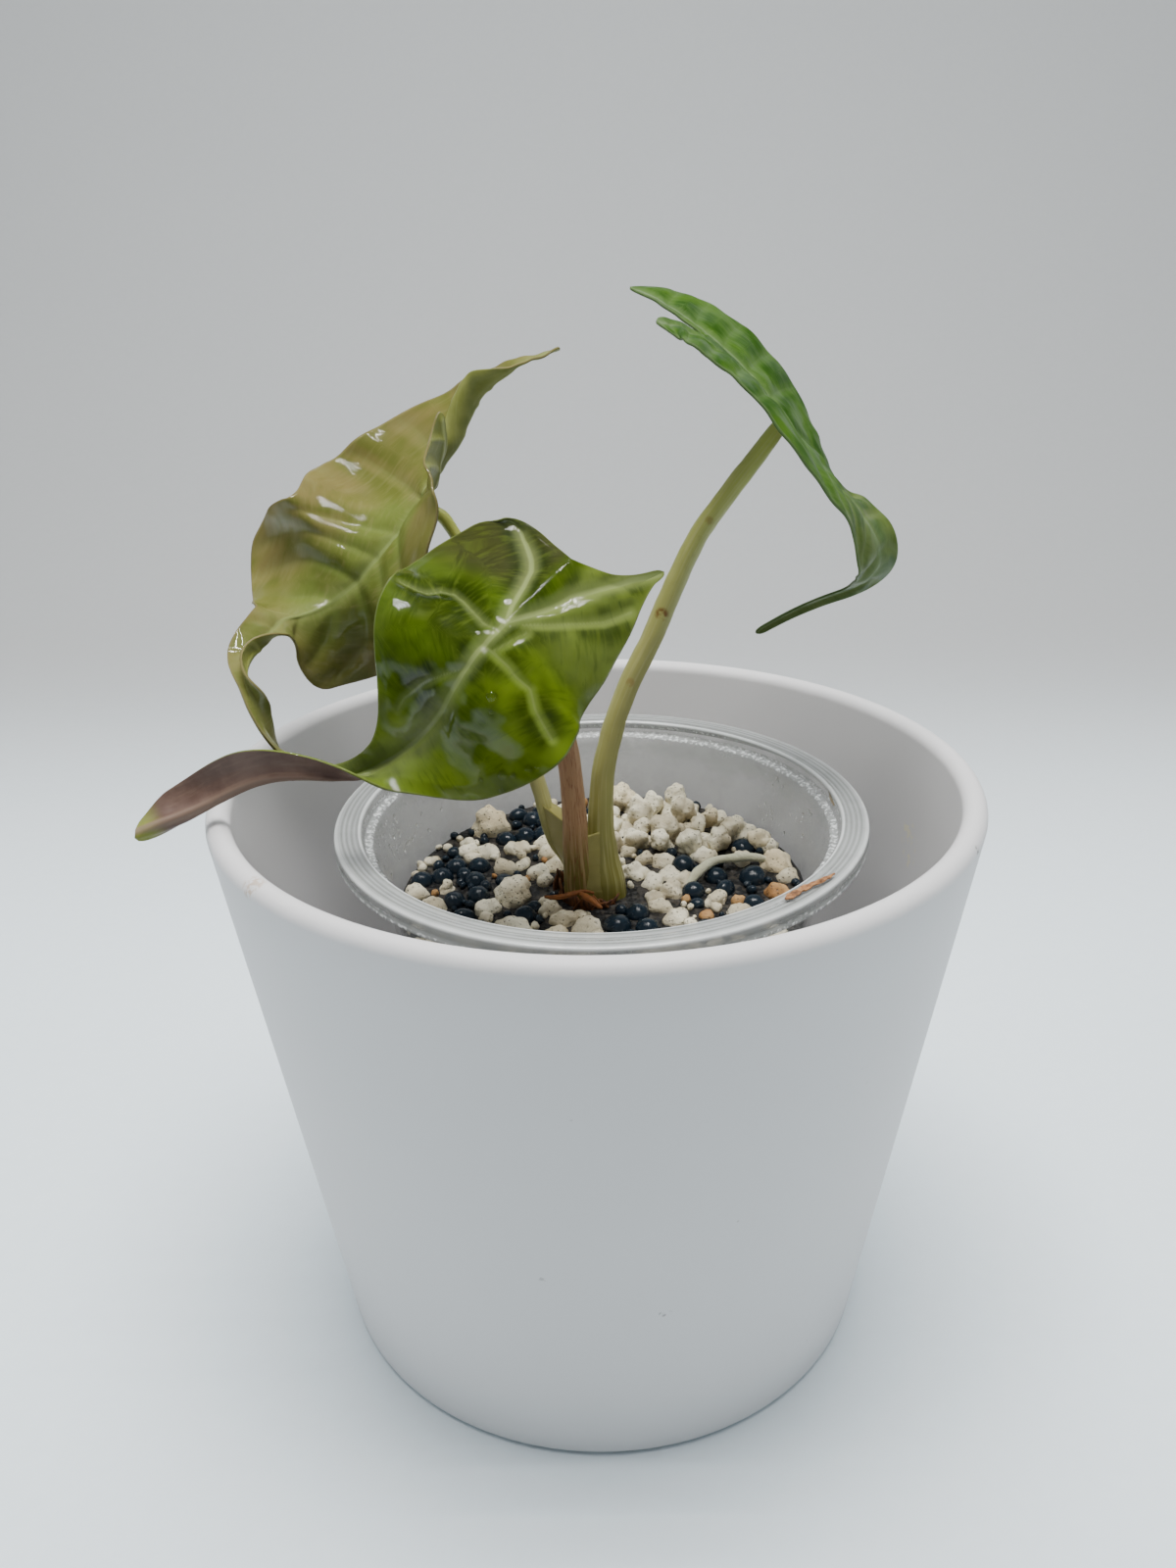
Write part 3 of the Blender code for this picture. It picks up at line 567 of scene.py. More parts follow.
def stone_places():
    """Centre, half axes, turn and kind of every stone, by the rule of the CAD source."""
    chance = random.Random(11)
    crown = CROWN_CENTRE - Vector((1.9, 0.7)) - Vector((-1.0, -2.1))
    wanted = [(Vector(spot[:2]), *spot[2:]) for spot in LANDMARKS]
    for i in range(330):
        angle = i * math.radians(137.508)
        out = CUP_LIMIT * math.sqrt((i + 0.5) / 330)
        here = Vector((out * math.cos(angle), out * math.sin(angle)))
        size = chance.uniform(1.5, 2.9)
        patch = any((here - Vector(spot[:2])).length < spot[2] for spot in PELLET_PATCHES)
        dark = chance.random() < (0.75 if patch else 0.06)
        tall = chance.uniform(0.75, 1.1)
        wanted.append((here, *((2.3, 1.0, "pellet") if dark else (size, tall, "pumice"))))
    places = []
    for here, size, tall, kind in wanted:
        stretch = 1.0 if kind == "pellet" else chance.uniform(0.85, 1.15)
        axes = (size * stretch, size / stretch, size * tall)
        widest = max(axes[:2])
        if here.length > CUP_LIMIT - widest:
            here = here.normalized() * (CUP_LIMIT - widest)
        turn = Quaternion((0, 0, 1), chance.uniform(0, math.pi))
        turn = turn @ Quaternion((1, 0, 0), chance.uniform(-0.3, 0.3))
        near = any((here - other[0].xy).length < 0.8 * (size + max(other[1][:2]))
                   for other in places)
        if near or (here - crown).length < CROWN_RADIUS + 1.4 + widest:
            continue
        spot = Vector((here.x, here.y, bed_height(*here) - 0.25 * size))
        places.append((spot, axes, turn, kind))
    return places


def crumb_places(stones):
    """Small stones that fill the gaps between the large ones."""
    chance = random.Random(29)
    crown = CROWN_CENTRE - Vector((1.9, 0.7)) - Vector((-1.0, -2.1))
    places = []
    for i in range(900):
        out = CUP_LIMIT * math.sqrt(chance.random())
        angle = chance.uniform(0, math.tau)
        size = chance.uniform(0.6, 1.5)
        here = Vector((out * math.cos(angle), out * math.sin(angle)))
        here = here * min(1.0, (CUP_LIMIT + 0.4 - size) / max(here.length, 1e-6))
        lift = 0.0
        if any((here - other[0].xy).length < 0.86 * (size + max(other[1][:2])) - 0.35
               for other in stones):
            continue
        if any((here - other[0].xy).length < 0.85 * (size + other[1][0]) for other in places):
            continue
        if (here - crown).length < CROWN_RADIUS + 0.3 + size:
            continue
        patch = any((here - Vector(spot[:2])).length < spot[2] for spot in PELLET_PATCHES)
        kind = "pellet" if chance.random() < (0.9 if patch else 0.5) else "pumice"
        kind = "tan" if chance.random() < 0.09 else kind
        axes = tuple(size * chance.uniform(0.8, 1.15) for _ in range(3))
        turn = Euler([chance.uniform(0, math.tau) for _ in range(3)]).to_quaternion()
        spot = Vector((here.x, here.y, bed_height(*here) + lift + 0.05 * size))
        places.append((spot, axes, turn, kind))
    return places


def heap_places():
    """Pumice that lies on top of the others, where the real bed is piled up at the back right."""
    chance = random.Random(17)
    places = []
    for _ in range(160):
        here = Vector((chance.uniform(2, 33), chance.uniform(13, 34)))
        size = chance.uniform(2.0, 3.3)
        if here.length > CUP_LIMIT - size - 0.6:
            continue
        if any((here - other[0].xy).length < 0.92 * (size + other[1][0]) for other in places):
            continue
        kind = "cream" if chance.random() < 0.15 else "pumice"
        axes = tuple(size * chance.uniform(0.8, 1.15) for _ in range(3))
        turn = Euler([chance.uniform(0, math.tau) for _ in range(3)]).to_quaternion()
        lift = 1.2 + 1.8 * max(0.0, 1 - (here - Vector((19, 26))).length / 18)
        places.append((Vector((here.x, here.y, bed_height(*here) + lift)), axes, turn, kind))
    return places


landmarks = stone_places()
stones = [(spot, axes, turn, "pellet") if kind == "pumice" and max(axes) < 2.7 and any(
          (spot.xy - Vector(patch[:2])).length < patch[2] for patch in DARK_PATCHES)
          else (spot, axes, turn, kind) for spot, axes, turn, kind in landmarks[len(LANDMARKS):]]
landmarks = landmarks[:len(LANDMARKS)] + heap_places()
crumbs = crumb_places(landmarks + stones)
print(len(landmarks), "large stones,", len(stones), "stones and", len(crumbs), "crumbs")

# %% [markdown]
# ## Stones by Geometry Nodes
#
# Each stone is one point that carries its size and turn as attributes. The tree puts a round
# blank on every point, makes the copies real and then pushes their skin in and out with a noise,
# so no two stones match. A wide noise gives the lumps and a fine one the broken faces.

# %% Stone recipe
stone_recipe = Recipe("stones", {
    "Fineness": "NodeSocketInt", "Lump size": "NodeSocketFloat", "Lump depth": "NodeSocketFloat",
    "Material": "NodeSocketMaterial"})
blank = stone_recipe.add("GeometryNodeMeshIcoSphere", None, {
    "Radius": 1.0, "Subdivisions": stone_recipe.given["Fineness"]}, "Mesh")
turn_of = stone_recipe.add(
    "GeometryNodeInputNamedAttribute", {"data_type": "FLOAT_VECTOR"}, {"Name": "turn"})
size_of = stone_recipe.add(
    "GeometryNodeInputNamedAttribute", {"data_type": "FLOAT_VECTOR"}, {"Name": "size"})
copies = stone_recipe.add("GeometryNodeInstanceOnPoints", None, {
    "Points": stone_recipe.given["Geometry"], "Instance": blank, "Rotation": turn_of,
    "Scale": size_of})
real_stones = stone_recipe.add("GeometryNodeRealizeInstances", None, {0: copies})
per_metre = stone_recipe.maths("DIVIDE", 1000.0, stone_recipe.given["Lump size"])
lobes = stone_recipe.add("ShaderNodeTexVoronoi", {"feature": "SMOOTH_F1"}, {
    "Scale": per_metre, "Smoothness": 0.35}, "Distance")
broken = stone_recipe.add("ShaderNodeTexNoise", None, {
    "Scale": per_metre * 1.3, "Detail": 2.0}, "Fac")
skin = stone_recipe.add("GeometryNodeInputNormal")
push = (broken * 0.45 - lobes * 0.8 + 0.12) * stone_recipe.given["Lump depth"] * MM
push_vector = stone_recipe.add(
    "ShaderNodeVectorMath", {"operation": "SCALE"}, {0: skin, "Scale": push})
pushed = stone_recipe.add("GeometryNodeSetPosition", None, {
    "Geometry": real_stones, "Offset": push_vector})
stone_recipe.end(pushed)


def stone_points(places, base=CUP_FRAME):
    """A mesh of points in the pot's frame with the sizes and turns of the stones."""
    mesh = bpy.data.meshes.new("stone_points")
    mesh.from_pydata([base @ (spot * MM) for spot, *_ in places], [], [])
    size = mesh.attributes.new("size", "FLOAT_VECTOR", "POINT")
    turn = mesh.attributes.new("turn", "FLOAT_VECTOR", "POINT")
    lean = base.to_quaternion()
    for i, (_, axes, quaternion, _) in enumerate(places):
        size.data[i].vector = Vector(axes) * MM
        turn.data[i].vector = Vector((lean @ quaternion).to_euler())
    return mesh


# %% Stone finishes
def pumice_finish(name, dark, pale, grey):
    """Broken volcanic glass: pale, with grey specks and many small pits painted dark as painted shade.
    """
    finish = Finish(name)
    tone = finish.noise(7.0, 2.0)
    pits = finish.step(finish.cells(0.75), 0.34, 0.12) * finish.step(finish.noise(2.0), 0.42, 0.55)
    specks = finish.step(finish.noise(0.5, 2.0), 0.62, 0.70)
    body = finish.mix(finish.step(tone, 0.35, 0.65), dark, pale)
    # The pits are painted dark: painted shade in the pits.
    body = finish.mix(pits * 0.75, body, (0.16, 0.145, 0.12))
    body = finish.mix(specks * 0.6, body, grey)
    height = finish.noise(0.8, 4.0, 0.65) - pits * 0.8
    return finish.use({
        "Base Color": body, "Roughness": 0.78 - pits * 0.1, "Specular IOR Level": 0.3,
        "Normal": finish.bump(height, 0.35, 0.9)})


def pellet_finish():
    """Hard blue-black fertiliser pellets with a smooth skin and a little dust."""
    finish = Finish("pellet_skin")
    dust = finish.step(finish.noise(1.2, 4.0), 0.60, 0.75)
    body = finish.mix(finish.noise(3.0), (0.004, 0.008, 0.014), (0.010, 0.020, 0.030))
    return finish.use({
        "Base Color": finish.mix(dust * 0.25, body, (0.10, 0.11, 0.11)),
        "Roughness": 0.24 + dust * 0.35, "Specular IOR Level": 0.35,
        "Normal": finish.bump(finish.noise(1.2, 2.0), 0.08, 0.4)})


stone_finishes = {
    "pumice": pumice_finish("pumice_stone", (0.48, 0.42, 0.29), (0.78, 0.73, 0.56),
                            (0.22, 0.21, 0.19)),
    "cream": pumice_finish("cream_stone", (0.60, 0.50, 0.32), (0.80, 0.71, 0.50),
                           (0.42, 0.36, 0.26)),
    "tan": pumice_finish("tan_stone", (0.30, 0.15, 0.055), (0.46, 0.28, 0.12),
                         (0.16, 0.09, 0.05)),
    "pellet": pellet_finish(),
}


# %% Stones and crumbs
for kind, material in stone_finishes.items():
    for name, group, fineness, size, depth in (
            ("landmarks", landmarks, 4, 2.6, 2.0), ("stones", stones, 3, 2.2, 1.6),
            ("crumbs", crumbs, 2, 1.4, 0.8)):
        chosen = [spot for spot in group if spot[3] == kind]
        if not chosen:
            continue
        piece = stone_recipe.run(name + "_" + kind, stone_points(chosen), {
            "Fineness": fineness, "Lump size": size,
            "Lump depth": 0.3 if kind == "pellet" else depth, "Material": material})
        hand_over(piece, "substrate", "substrate", hides=name == "landmarks")

# %% [markdown]
# ## The bed under the stones
#
# What shows between the stones is wet grit in deep shade, painted nearly black: its own dark
# colour and painted shade. It is a disc whose top follows the same slope as the CAD bed,
# roughened by a noise, and whose wall stands just inside the cup.

# %% Grit
def grit():
    low, wall_top = 1.1, BED_TOP - 1.6
    profile = [(0, BED_TOP)] + [(CUP_LIMIT * step / 22, BED_TOP) for step in range(1, 23)]
    profile += [(CUP_LIMIT + 0.5, BED_TOP - 0.6), (CUP_LIMIT + 0.2, wall_top - 2),
                (27.6, low), (0, low)]
    mesh = turned(profile, 120)
    for vert in mesh.verts:
        x, y, z = vert.co / MM
        if z > wall_top:
            bump = noise.noise(Vector((x, y, 0)) * 0.45) * 0.5
            vert.co.z += (bed_height(x, y) - BED_TOP - 0.5 + bump) * MM
    bmesh.ops.transform(mesh, matrix=CUP_FRAME, verts=mesh.verts)
    finish = Finish("wet_grit")
    grains = finish.cells(1.1, out="Color")
    grey = finish.add("ShaderNodeSeparateColor", None, {0: grains}, "Red")
    pale = finish.step(grey, 0.55, 0.8)
    return finished("bed_grit", mesh, finish.use({
        # Nearly black: the wet grit's own dark colour together with painted shade between the stones.
        "Base Color": finish.mix(pale, (0.006, 0.006, 0.006), (0.035, 0.030, 0.024)),
        "Roughness": 0.6, "Normal": finish.bump(finish.cells(1.1), 0.6, 0.9)}))


hand_over(grit(), "substrate", "substrate", hides=False)

# %% [markdown]
# ## The shape of a leaf
#
# A blade starts as a flat drawing: x runs along the midrib from the stalk to the tip, y runs
# across it, and each half has its own margin. Then the midrib is bent, turned and twisted in
# stretches, and each half is folded up and curled about it. These are the CAD source's own
# tables and formulas. The CAD blade has a row every 3 mm; here there is one every half
# millimetre, fine enough to carry sunken veins and the puckers between them.

# %% Leaf tables
BLADES = {
    "front": {
        "at": (-13.8, -22.1, 147.0), "aim": (-140, -29, -37), "sinus": 16,
        "tip": [(19, -76, 2, -9), (17, 47, -26, 0), (10, 41, -20, 81), (15, -32, -31, 27),
                (19, -21, 39, 44)],
        "neck": (17, -3, -4, -1),
        "a": {
            "lobe": [(18, -32, -58, -8)],
            "margin": [(-24, 14.8), (-21, 16), (-12, 22.2), (0, 26.6), (12, 21.1), (24, 12.4),
                       (36, 4.5), (44, 2.7), (60, 2.2), (72, 2.2), (80, 1.0)],
            "inner": [(-24, 13.3), (-18, 5.2), (-16, 0)],
            "vein": [(-24, 14), (-12, 5.9), (0, 0)],
            "fold": [(-24, -16), (0, -26), (16, -11), (30, 8), (45, 44), (80, 45)],
            "curl": [(-24, -0.3), (0, -0.1), (80, 0)],
        },
        "b": {
            "lobe": [(18, 11, -4, -23)],
            "margin": [(-28, 13.8), (-24, 13), (-12, 16), (0, 19.6), (12, 21.3), (24, 15.8),
                       (36, 6.1), (44, 3.8), (60, 6.6), (72, 5.7), (80, 1.6)],
            "inner": [(-28, 12.4), (-20, 6.8), (-16, 0)],
            "vein": [(-28, 13.1), (-14, 5.9), (0, 0)],
            "fold": [(-28, -16), (0, -10), (16, 11), (30, 21), (45, 59), (80, 46)],
            "curl": [(-28, -0.2), (0, -1.7), (40, 0.3), (80, 0)],
        },
    },
    "back": {
        "at": (-33.4, 17.5, 156.2), "aim": (-145.5, -42, -26), "sinus": 4,
        "tip": [(17, -33, -12, -61), (12, 62, -40, 34), (7, 20, 29, -21), (14, -6, 4, 90),
                (13, -70, 66, -74), (11, -11, 78, -55)],
        "neck": (7, 17, 6, 0),
        "a": {
            "lobe": [(10, 29, 25, 24), (29, -88, -46, -14)],
            "margin": [(-46, 2.9), (-40, 4.8), (-34, 7.9), (-24, 16.9), (-12, 21.3), (0, 25),
                       (14, 19.9), (24, 23.2), (31, 9.4), (36, 4.8), (46, 4.7), (56, 1.5),
                       (66, 3.2), (74, 1.0)],
            "inner": [(-46, 1.3), (-38, 2.4), (-24, 0.6), (-10, -1), (-4, 0)],
            "vein": [(-46, 3.4), (-38, 3), (-24, 7.3), (-12, 2.4), (0, 0)],
            "fold": [(-46, -11), (0, -26), (30, -48), (44, 4), (74, 16)],
            "curl": [(-46, 0), (0, 1.9), (40, -0.6), (74, 0)],
            "roll": [(-46, 32), (-12, 28), (-6, 0)],
        },
        "b": {
            "lobe": [(16, 33, -13, 0)],
            "margin": [(-22, 7.1), (-18, 9.4), (-10, 15.9), (0, 18.9), (14, 17.3), (26, 15.6),
                       (32, 7.4), (36, 3.2), (46, 3.4), (56, 2.4), (66, 2.2), (74, 1.0)],
            "inner": [(-22, 5.5), (-12, 2.4), (-4, 0)],
            "vein": [(-22, 6.3), (-12, 4.6), (0, 0)],
            "fold": [(-22, 80), (0, 53), (14, 53), (26, -18), (32, -5), (40, 53), (54, 95),
                     (62, 5), (74, 2)],
            "curl": [(-22, 0.2), (0, -0.8), (20, 0.2), (30, -1.5), (74, 0)],
        },
    },
    "right": {
        "at": (33.5, 8.0, 173.9), "aim": (-23, -49.5, -15), "sinus": 19,
        "tip": [(19, 6, 12, 1), (9, -19, 17, 28), (9, -58, -10, 40), (8, -14, -20, 18),
                (20, 22, -12, 10)],
        "neck": (22, -21, -10, 5),
        "a": {
            "lobe": [(14, -7, -48, 11)],
            "margin": [(-33, 8.8), (-29, 13.6), (-18, 18.4), (0, 19.4), (12, 16.7), (24, 10.1),
                       (36, 5.4), (44, 2.4), (56, 1.4), (65, 1.0)],
            "inner": [(-33, 7.3), (-26, 2.8), (-19, 0)],
            "vein": [(-33, 8), (-18, 4.2), (0, 0)],
            "fold": [(-34, 2), (-18, 1), (0, 3), (14, -1), (28, -12), (42, -1), (65, 12)],
            "curl": [(-34, -0.6), (0, -0.8), (65, -0.1)],
        },
        "b": {
            "lobe": [(16, -17, 9, -3)],
            "margin": [(-36, 8.8), (-32, 13.9), (-18, 18.2), (0, 20.5), (12, 17), (24, 9.8),
                       (36, 5), (44, 2.5), (56, 1.5), (65, 1.0)],
            "inner": [(-36, 7.1), (-26, 2.6), (-19, 0)],
            "vein": [(-36, 7.9), (-18, 2.8), (0, 0)],
            "fold": [(-36, 13), (-18, 14), (0, 8), (14, 0), (28, -6), (42, 5), (65, 20)],
            "curl": [(-36, -0.3), (0, 0.2), (65, -0.4)],
        },
    },
}


# %% Curves through keys
def smooth(keys, x):
    """The value at x of a curve through the keys that never swings past one of them."""
    if x <= keys[0][0]:
        return keys[0][1]
    if x >= keys[-1][0]:
        return keys[-1][1]
    at = max(i for i in range(len(keys) - 1) if keys[i][0] <= x)
    gaps = [keys[i + 1][0] - keys[i][0] for i in range(len(keys) - 1)]
    rises = [(keys[i + 1][1] - keys[i][1]) / gaps[i] for i in range(len(keys) - 1)]

    def slope(i):
        if i == 0 or i == len(keys) - 1:
            return rises[min(i, len(rises) - 1)]
        before, after = rises[i - 1], rises[i]
        if before * after <= 0:
            return 0.0
        first = 2 * gaps[i] + gaps[i - 1]
        second = gaps[i] + 2 * gaps[i - 1]
        return (first + second) / (first / before + second / after)

    t = (x - keys[at][0]) / gaps[at]
    near, far = keys[at][1], keys[at + 1][1]
    pull_near, pull_far = slope(at) * gaps[at], slope(at + 1) * gaps[at]
    return (near * (2 * t**3 - 3 * t**2 + 1) + far * (3 * t**2 - 2 * t**3)
            + pull_near * (t**3 - 2 * t**2 + t) + pull_far * (t**3 - t**2))


# %% Bending the midrib
def bend_rates(blade, side):
    """Keys (x, turning per millimetre about the blade's three axes) from the lobe to the tip."""
    stretches = []
    start = 0
    for length, bend, turn, twist in [blade["neck"]] + blade[side]["lobe"]:
        stretches.insert(0, (start - length, start, Vector((-twist, -bend, turn)) / length))
        start -= length
    start = 0
    for length, bend, turn, twist in blade["tip"]:
        stretches.append((start, start + length, Vector((twist, -bend, turn)) / length))
        start += length
    keys = []
    for first, last, rate in stretches:
        ramp = min(3.0, (last - first) / 2 - 0.01)
        keys += [(first + ramp, rate), (last - ramp, rate)]
    return keys


def rate_at(keys, x):
    """The turning per millimetre at x, in a straight line between the keys."""
    if x <= keys[0][0]:
        return keys[0][1]
    for (first, near), (last, far) in zip(keys, keys[1:]):
        if x <= last:
            return near.lerp(far, (x - first) / (last - first))
    return keys[-1][1]


def midrib(blade, side):
    """Place and axes (tip-ward, side b, upper face) at every whole millimetre of x."""
    keys = bend_rates(blade, side)
    azimuth, pitch, roll = (math.radians(angle) for angle in blade["aim"])
    axes = Matrix.Rotation(azimuth, 3, "Z")
    axes = axes @ Matrix.Rotation(-pitch, 3, "Y") @ Matrix.Rotation(roll, 3, "X")
    found = {0: (Vector(blade["at"]), axes)}
    for way, last in ((1, blade[side]["margin"][-1][0]), (-1, blade[side]["margin"][0][0])):
        spot, now = found[0]
        for step in range(abs(last)):
            turning = rate_at(keys, way * (step + 0.5)) * way / 2
            half = Matrix.Rotation(math.radians(turning.length), 3, turning)
            now = now @ half
            spot = spot + now.col[0] * way
            now = now @ half
            found[way * (step + 1)] = (spot, now)
    return found


def station(spine, x):
    """Place and axes between two whole millimetres."""
    low = math.floor(x)
    if low == x:
        return spine[low]
    (near, first), (far, second) = spine[low], spine[low + 1]
    axes = first.to_quaternion().slerp(second.to_quaternion(), x - low).to_matrix()
    return near.lerp(far, x - low), axes


# %% [markdown]
# ## Where the veins run
#
# The veins are drawn in the same flat coordinates as the leaf. On the front leaf they were read
# off the photograph one by one; on the other two a rule makes them: the midrib, one strong vein
# down each lobe, and side veins that leave at a slant and bow towards the tip. Every point of
# the mesh then stores how far it is from the nearest strong vein, the nearest side vein and the
# margin, and both the relief and the colours read those three numbers.

# %% Veins
def lobe_veins(form):
    """The strong veins: midrib and lobe veins, as lists of (x, y)."""
    strong = [[(0, 0), (form["tip_x"], 0)]]
    for side, way in (("a", -1), ("b", 1)):
        first = form[side]["margin"][0][0]
        strong.append([(x, way * smooth(form[side]["vein"], x)) for x in range(0, first, -2)])
    return strong


def side_veins(form, starts):
    """Side veins that leave the midrib and the lobe veins at a slant and bow to the tip."""
    drawn = []
    for side, way in (("a", -1), ("b", 1)):
        margin = form[side]["margin"]
        for x in starts:
            reach = smooth(margin, x + smooth(margin, x) * 0.5)
            if reach > 3:
                drawn.append([(x + reach * (0.30 * t + 0.42 * t * t), way * reach * t)
                              for t in (0, 0.2, 0.4, 0.6, 0.8, 0.95)])
        first = margin[0][0]
        for x in range(-4, first + 2, -6):
            near = smooth(form[side]["vein"], x)
            reach = smooth(margin, x) - near
            drawn.append([(x - reach * (0.10 * t - 0.1 * t * t), way * (near + reach * t))
                          for t in (0, 0.25, 0.5, 0.75, 0.95)])
    return drawn


for form in BLADES.values():
    form["tip_x"] = form["a"]["margin"][-1][0]
BLADES["front"]["strong"] = [
    [(0, 0), (38, 0), (80, 1)],
    [(0, 0), (-3, -1.8), (-6.5, -3), (-11, -4.6), (-13, -6.2), (-16.5, -10.4), (-22, -14)],
    [(0, 0), (-4.5, 2.2), (-8, 3.5), (-11.5, 4.4), (-16.5, 7), (-22, 9.6), (-27, 12.8)],
]
BLADES["front"]["fine"] = [
    [(-1.5, 2.3), (-4.5, 4.7), (-12, 10.8), (-17, 13)],
    [(5.5, 1.8), (5.5, 4.9), (6, 7.4), (6, 10.2), (8.5, 12.9), (11, 18)],
    [(5.5, 0), (5.5, 1.8), (-1, 3.6)],
    [(2, 0), (2.5, -3.1), (1.5, -7.2), (0.5, -10.4), (0, -13.1), (1, -15.7), (4, -17), (7, -22)],
    [(10, 0), (14.5, -3), (19, -5.2), (24, -6.3), (27, -5.9)],
]
BLADES["back"]["strong"] = lobe_veins(BLADES["back"])
BLADES["back"]["fine"] = side_veins(BLADES["back"], (4, 10, 16, 22, 29, 37, 46))
BLADES["right"]["strong"] = lobe_veins(BLADES["right"])
BLADES["right"]["fine"] = side_veins(BLADES["right"], (3, 9, 15, 22, 30, 38))


def away(x, y, lines):
    """Distance from a point to the nearest line, and how far along the line that is."""
    best, where = 400.0, 0.0
    for number, line in enumerate(lines):
        run_up = number * 17.3
        for (x0, y0), (x1, y1) in zip(line, line[1:]):
            run, rise = x1 - x0, y1 - y0
            long = math.hypot(run, rise)
            t = ((x - x0) * run + (y - y0) * rise) / (long * long)
            t = 0.0 if t < 0 else 1.0 if t > 1 else t
            gap = (x - x0 - t * run) ** 2 + (y - y0 - t * rise) ** 2
            if gap < best:
                best, where = gap, run_up + t * long
            run_up += long
    return math.sqrt(best), where


print(sum(len(form["fine"]) for form in BLADES.values()), "side veins")


# %% [markdown]
# ## Relief
#
# Seen close, the upper face is quilted: the veins lie in valleys and the skin between them
# stands up in low pillows, which is why the wet leaf breaks its reflections into short arcs. The
# push fades out at the margin, so that the outline stays the CAD blade's outline.

# %% Relief of the upper face
def relief(form, x, y, strong, fine, edge):
    """How far a point is pushed along the normal, in millimetres."""
    valley = 0.42 * math.exp(-(strong / 1.0) ** 2) + 0.26 * math.exp(-(fine / 0.75) ** 2)
    pillow = 0.55 * (1 - math.exp(-(min(strong, fine * 1.15) / 2.6) ** 2))
    spot = Vector((x * 0.16, y * 0.16, form["seed"]))
    ripple = 0.45 * noise.noise(spot * 0.8) + 0.12 * noise.noise(spot * 2.7)
    inside = min(1.0, edge / 3.0)
    crimp = noise.noise(Vector((x * 0.24, form["seed"] + (4 if y > 0 else 0), 3.0)))
    margin = form["b" if y > 0 else "a"]["margin"]
    ends = max(0.0, min(1.0, (44 - x) / 12, (x - margin[0][0]) / 6))
    wave = form["crimp"] * crimp * math.exp(-edge / 4.5) * ends * ends
    return (pillow - valley - 0.2 + ripple) * inside * form["quilt"] + wave


# %% Building a blade
ROWS_PER_MM = 2


def half_grid(mesh, layers, form, side, spines, columns):
    """One half of a blade as a grid of faces that look to the upper side."""
    shape = form[side]
    spine, other = spines[side], spines["a" if side == "b" else "b"]
    way = 1 if side == "b" else -1
    first, last = shape["margin"][0][0], shape["margin"][-1][0]
    grid = []
    for row in range((last - first) * ROWS_PER_MM + 1):
        x = first + row / ROWS_PER_MM
        spot, axes = station(spine, x)
        margin = smooth(shape["margin"], x)
        inner = smooth(shape["inner"], x) if x < -form["sinus"] else 0.0
        end = min(1.0, (last - x) / 2.0)
        margin *= math.sqrt(max(0.0, 1 - (1 - end) ** 2))
        start = min(1.0, (x - first) / 1.5)
        middle, half = (inner + margin) / 2, (margin - inner) / 2
        half *= math.sqrt(max(0.0, 1 - (1 - start) ** 2))
        if x < -form["sinus"]:
            inner, margin = middle - half, middle + half
        vein = smooth(shape["vein"], x) if x < 0 else 0.0
        fold = math.radians(smooth(shape["fold"], x) * min(1.0, smooth(shape["margin"], x) / 2.2))
        out, up = axes.col[1] * way, axes.col[2]
        near = out * math.cos(fold) + up * math.sin(fold)
        rates = smooth(shape["curl"], x), smooth(shape.get("roll", [(0, 0)]), x)
        narrow = min(1.0, 0.5 + margin / 20) if margin > 0 else 1.0
        line = []
        for column in range(columns + 1):
            y = inner + (margin - inner) * (column / columns) ** narrow
            reach = y - vein
            swing = math.radians((rates[0] if reach >= 0 else rates[1]) * reach / 2)
            chord = reach * (math.sin(swing) / swing if abs(swing) > 1e-6 else 1.0)
            far = out * math.cos(fold + swing) + up * math.sin(fold + swing)
            point = spot + near * vein + far * chord
            if column == 0 and x >= -form["sinus"]:
                point = (point + middle_point(form, other, side, x)) / 2
            vert = mesh.verts.new(point * MM)
            edge = margin - y
            if x < -form["sinus"]:
                edge = min(edge, y - inner)
            edge = min(edge, last - x, x - first)
            strong, along_strong = away(x, way * y, form["strong"])
            fine, along_fine = away(x, way * y, form["fine"])
            run = along_fine if fine < strong else along_strong + 500.0
            vert[layers["leaf"]] = Vector((x, way * y, run))
            vert[layers["strong"]] = strong
            vert[layers["fine"]] = fine
            vert[layers["edge"]] = max(0.0, edge)
            line.append(vert)
        grid.append(line)
    for low, high in zip(grid, grid[1:]):
        for column in range(columns):
            corners = (low[column], high[column], high[column + 1], low[column + 1])
            mesh.faces.new(corners if side == "b" else corners[::-1])


def middle_point(form, spine, side, x):
    """The midline as the other half has it; the two are met halfway."""
    other = "a" if side == "b" else "b"
    shape = form[other]
    spot, axes = station(spine, x)
    vein = smooth(shape["vein"], x) if x < 0 else 0.0
    fold = math.radians(smooth(shape["fold"], x) * min(1.0, smooth(shape["margin"], x) / 2.2))
    out, up = axes.col[1] * (1 if other == "b" else -1), axes.col[2]
    swing = math.radians((smooth(shape.get("roll", [(0, 0)]), x)) * -vein / 2)
    chord = -vein * (math.sin(swing) / swing if abs(swing) > 1e-6 else 1.0)
    near = out * math.cos(fold) + up * math.sin(fold)
    far = out * math.cos(fold + swing) + up * math.sin(fold + swing)
    return spot + near * vein + far * chord


def soft_normals(mesh, rounds):
    """Normals averaged with their neighbours; they shrink in a crease, and the relief with them."""
    mesh.verts.index_update()
    normals = [vert.normal.copy() for vert in mesh.verts]
    beside = [[edge.other_vert(vert).index for edge in vert.link_edges] for vert in mesh.verts]
    for _ in range(rounds):
        normals = [sum((normals[i] for i in near), normals[own]) / (len(near) + 1)
                   for own, near in enumerate(beside)]
    return [normal * normal.length**4 for normal in normals]


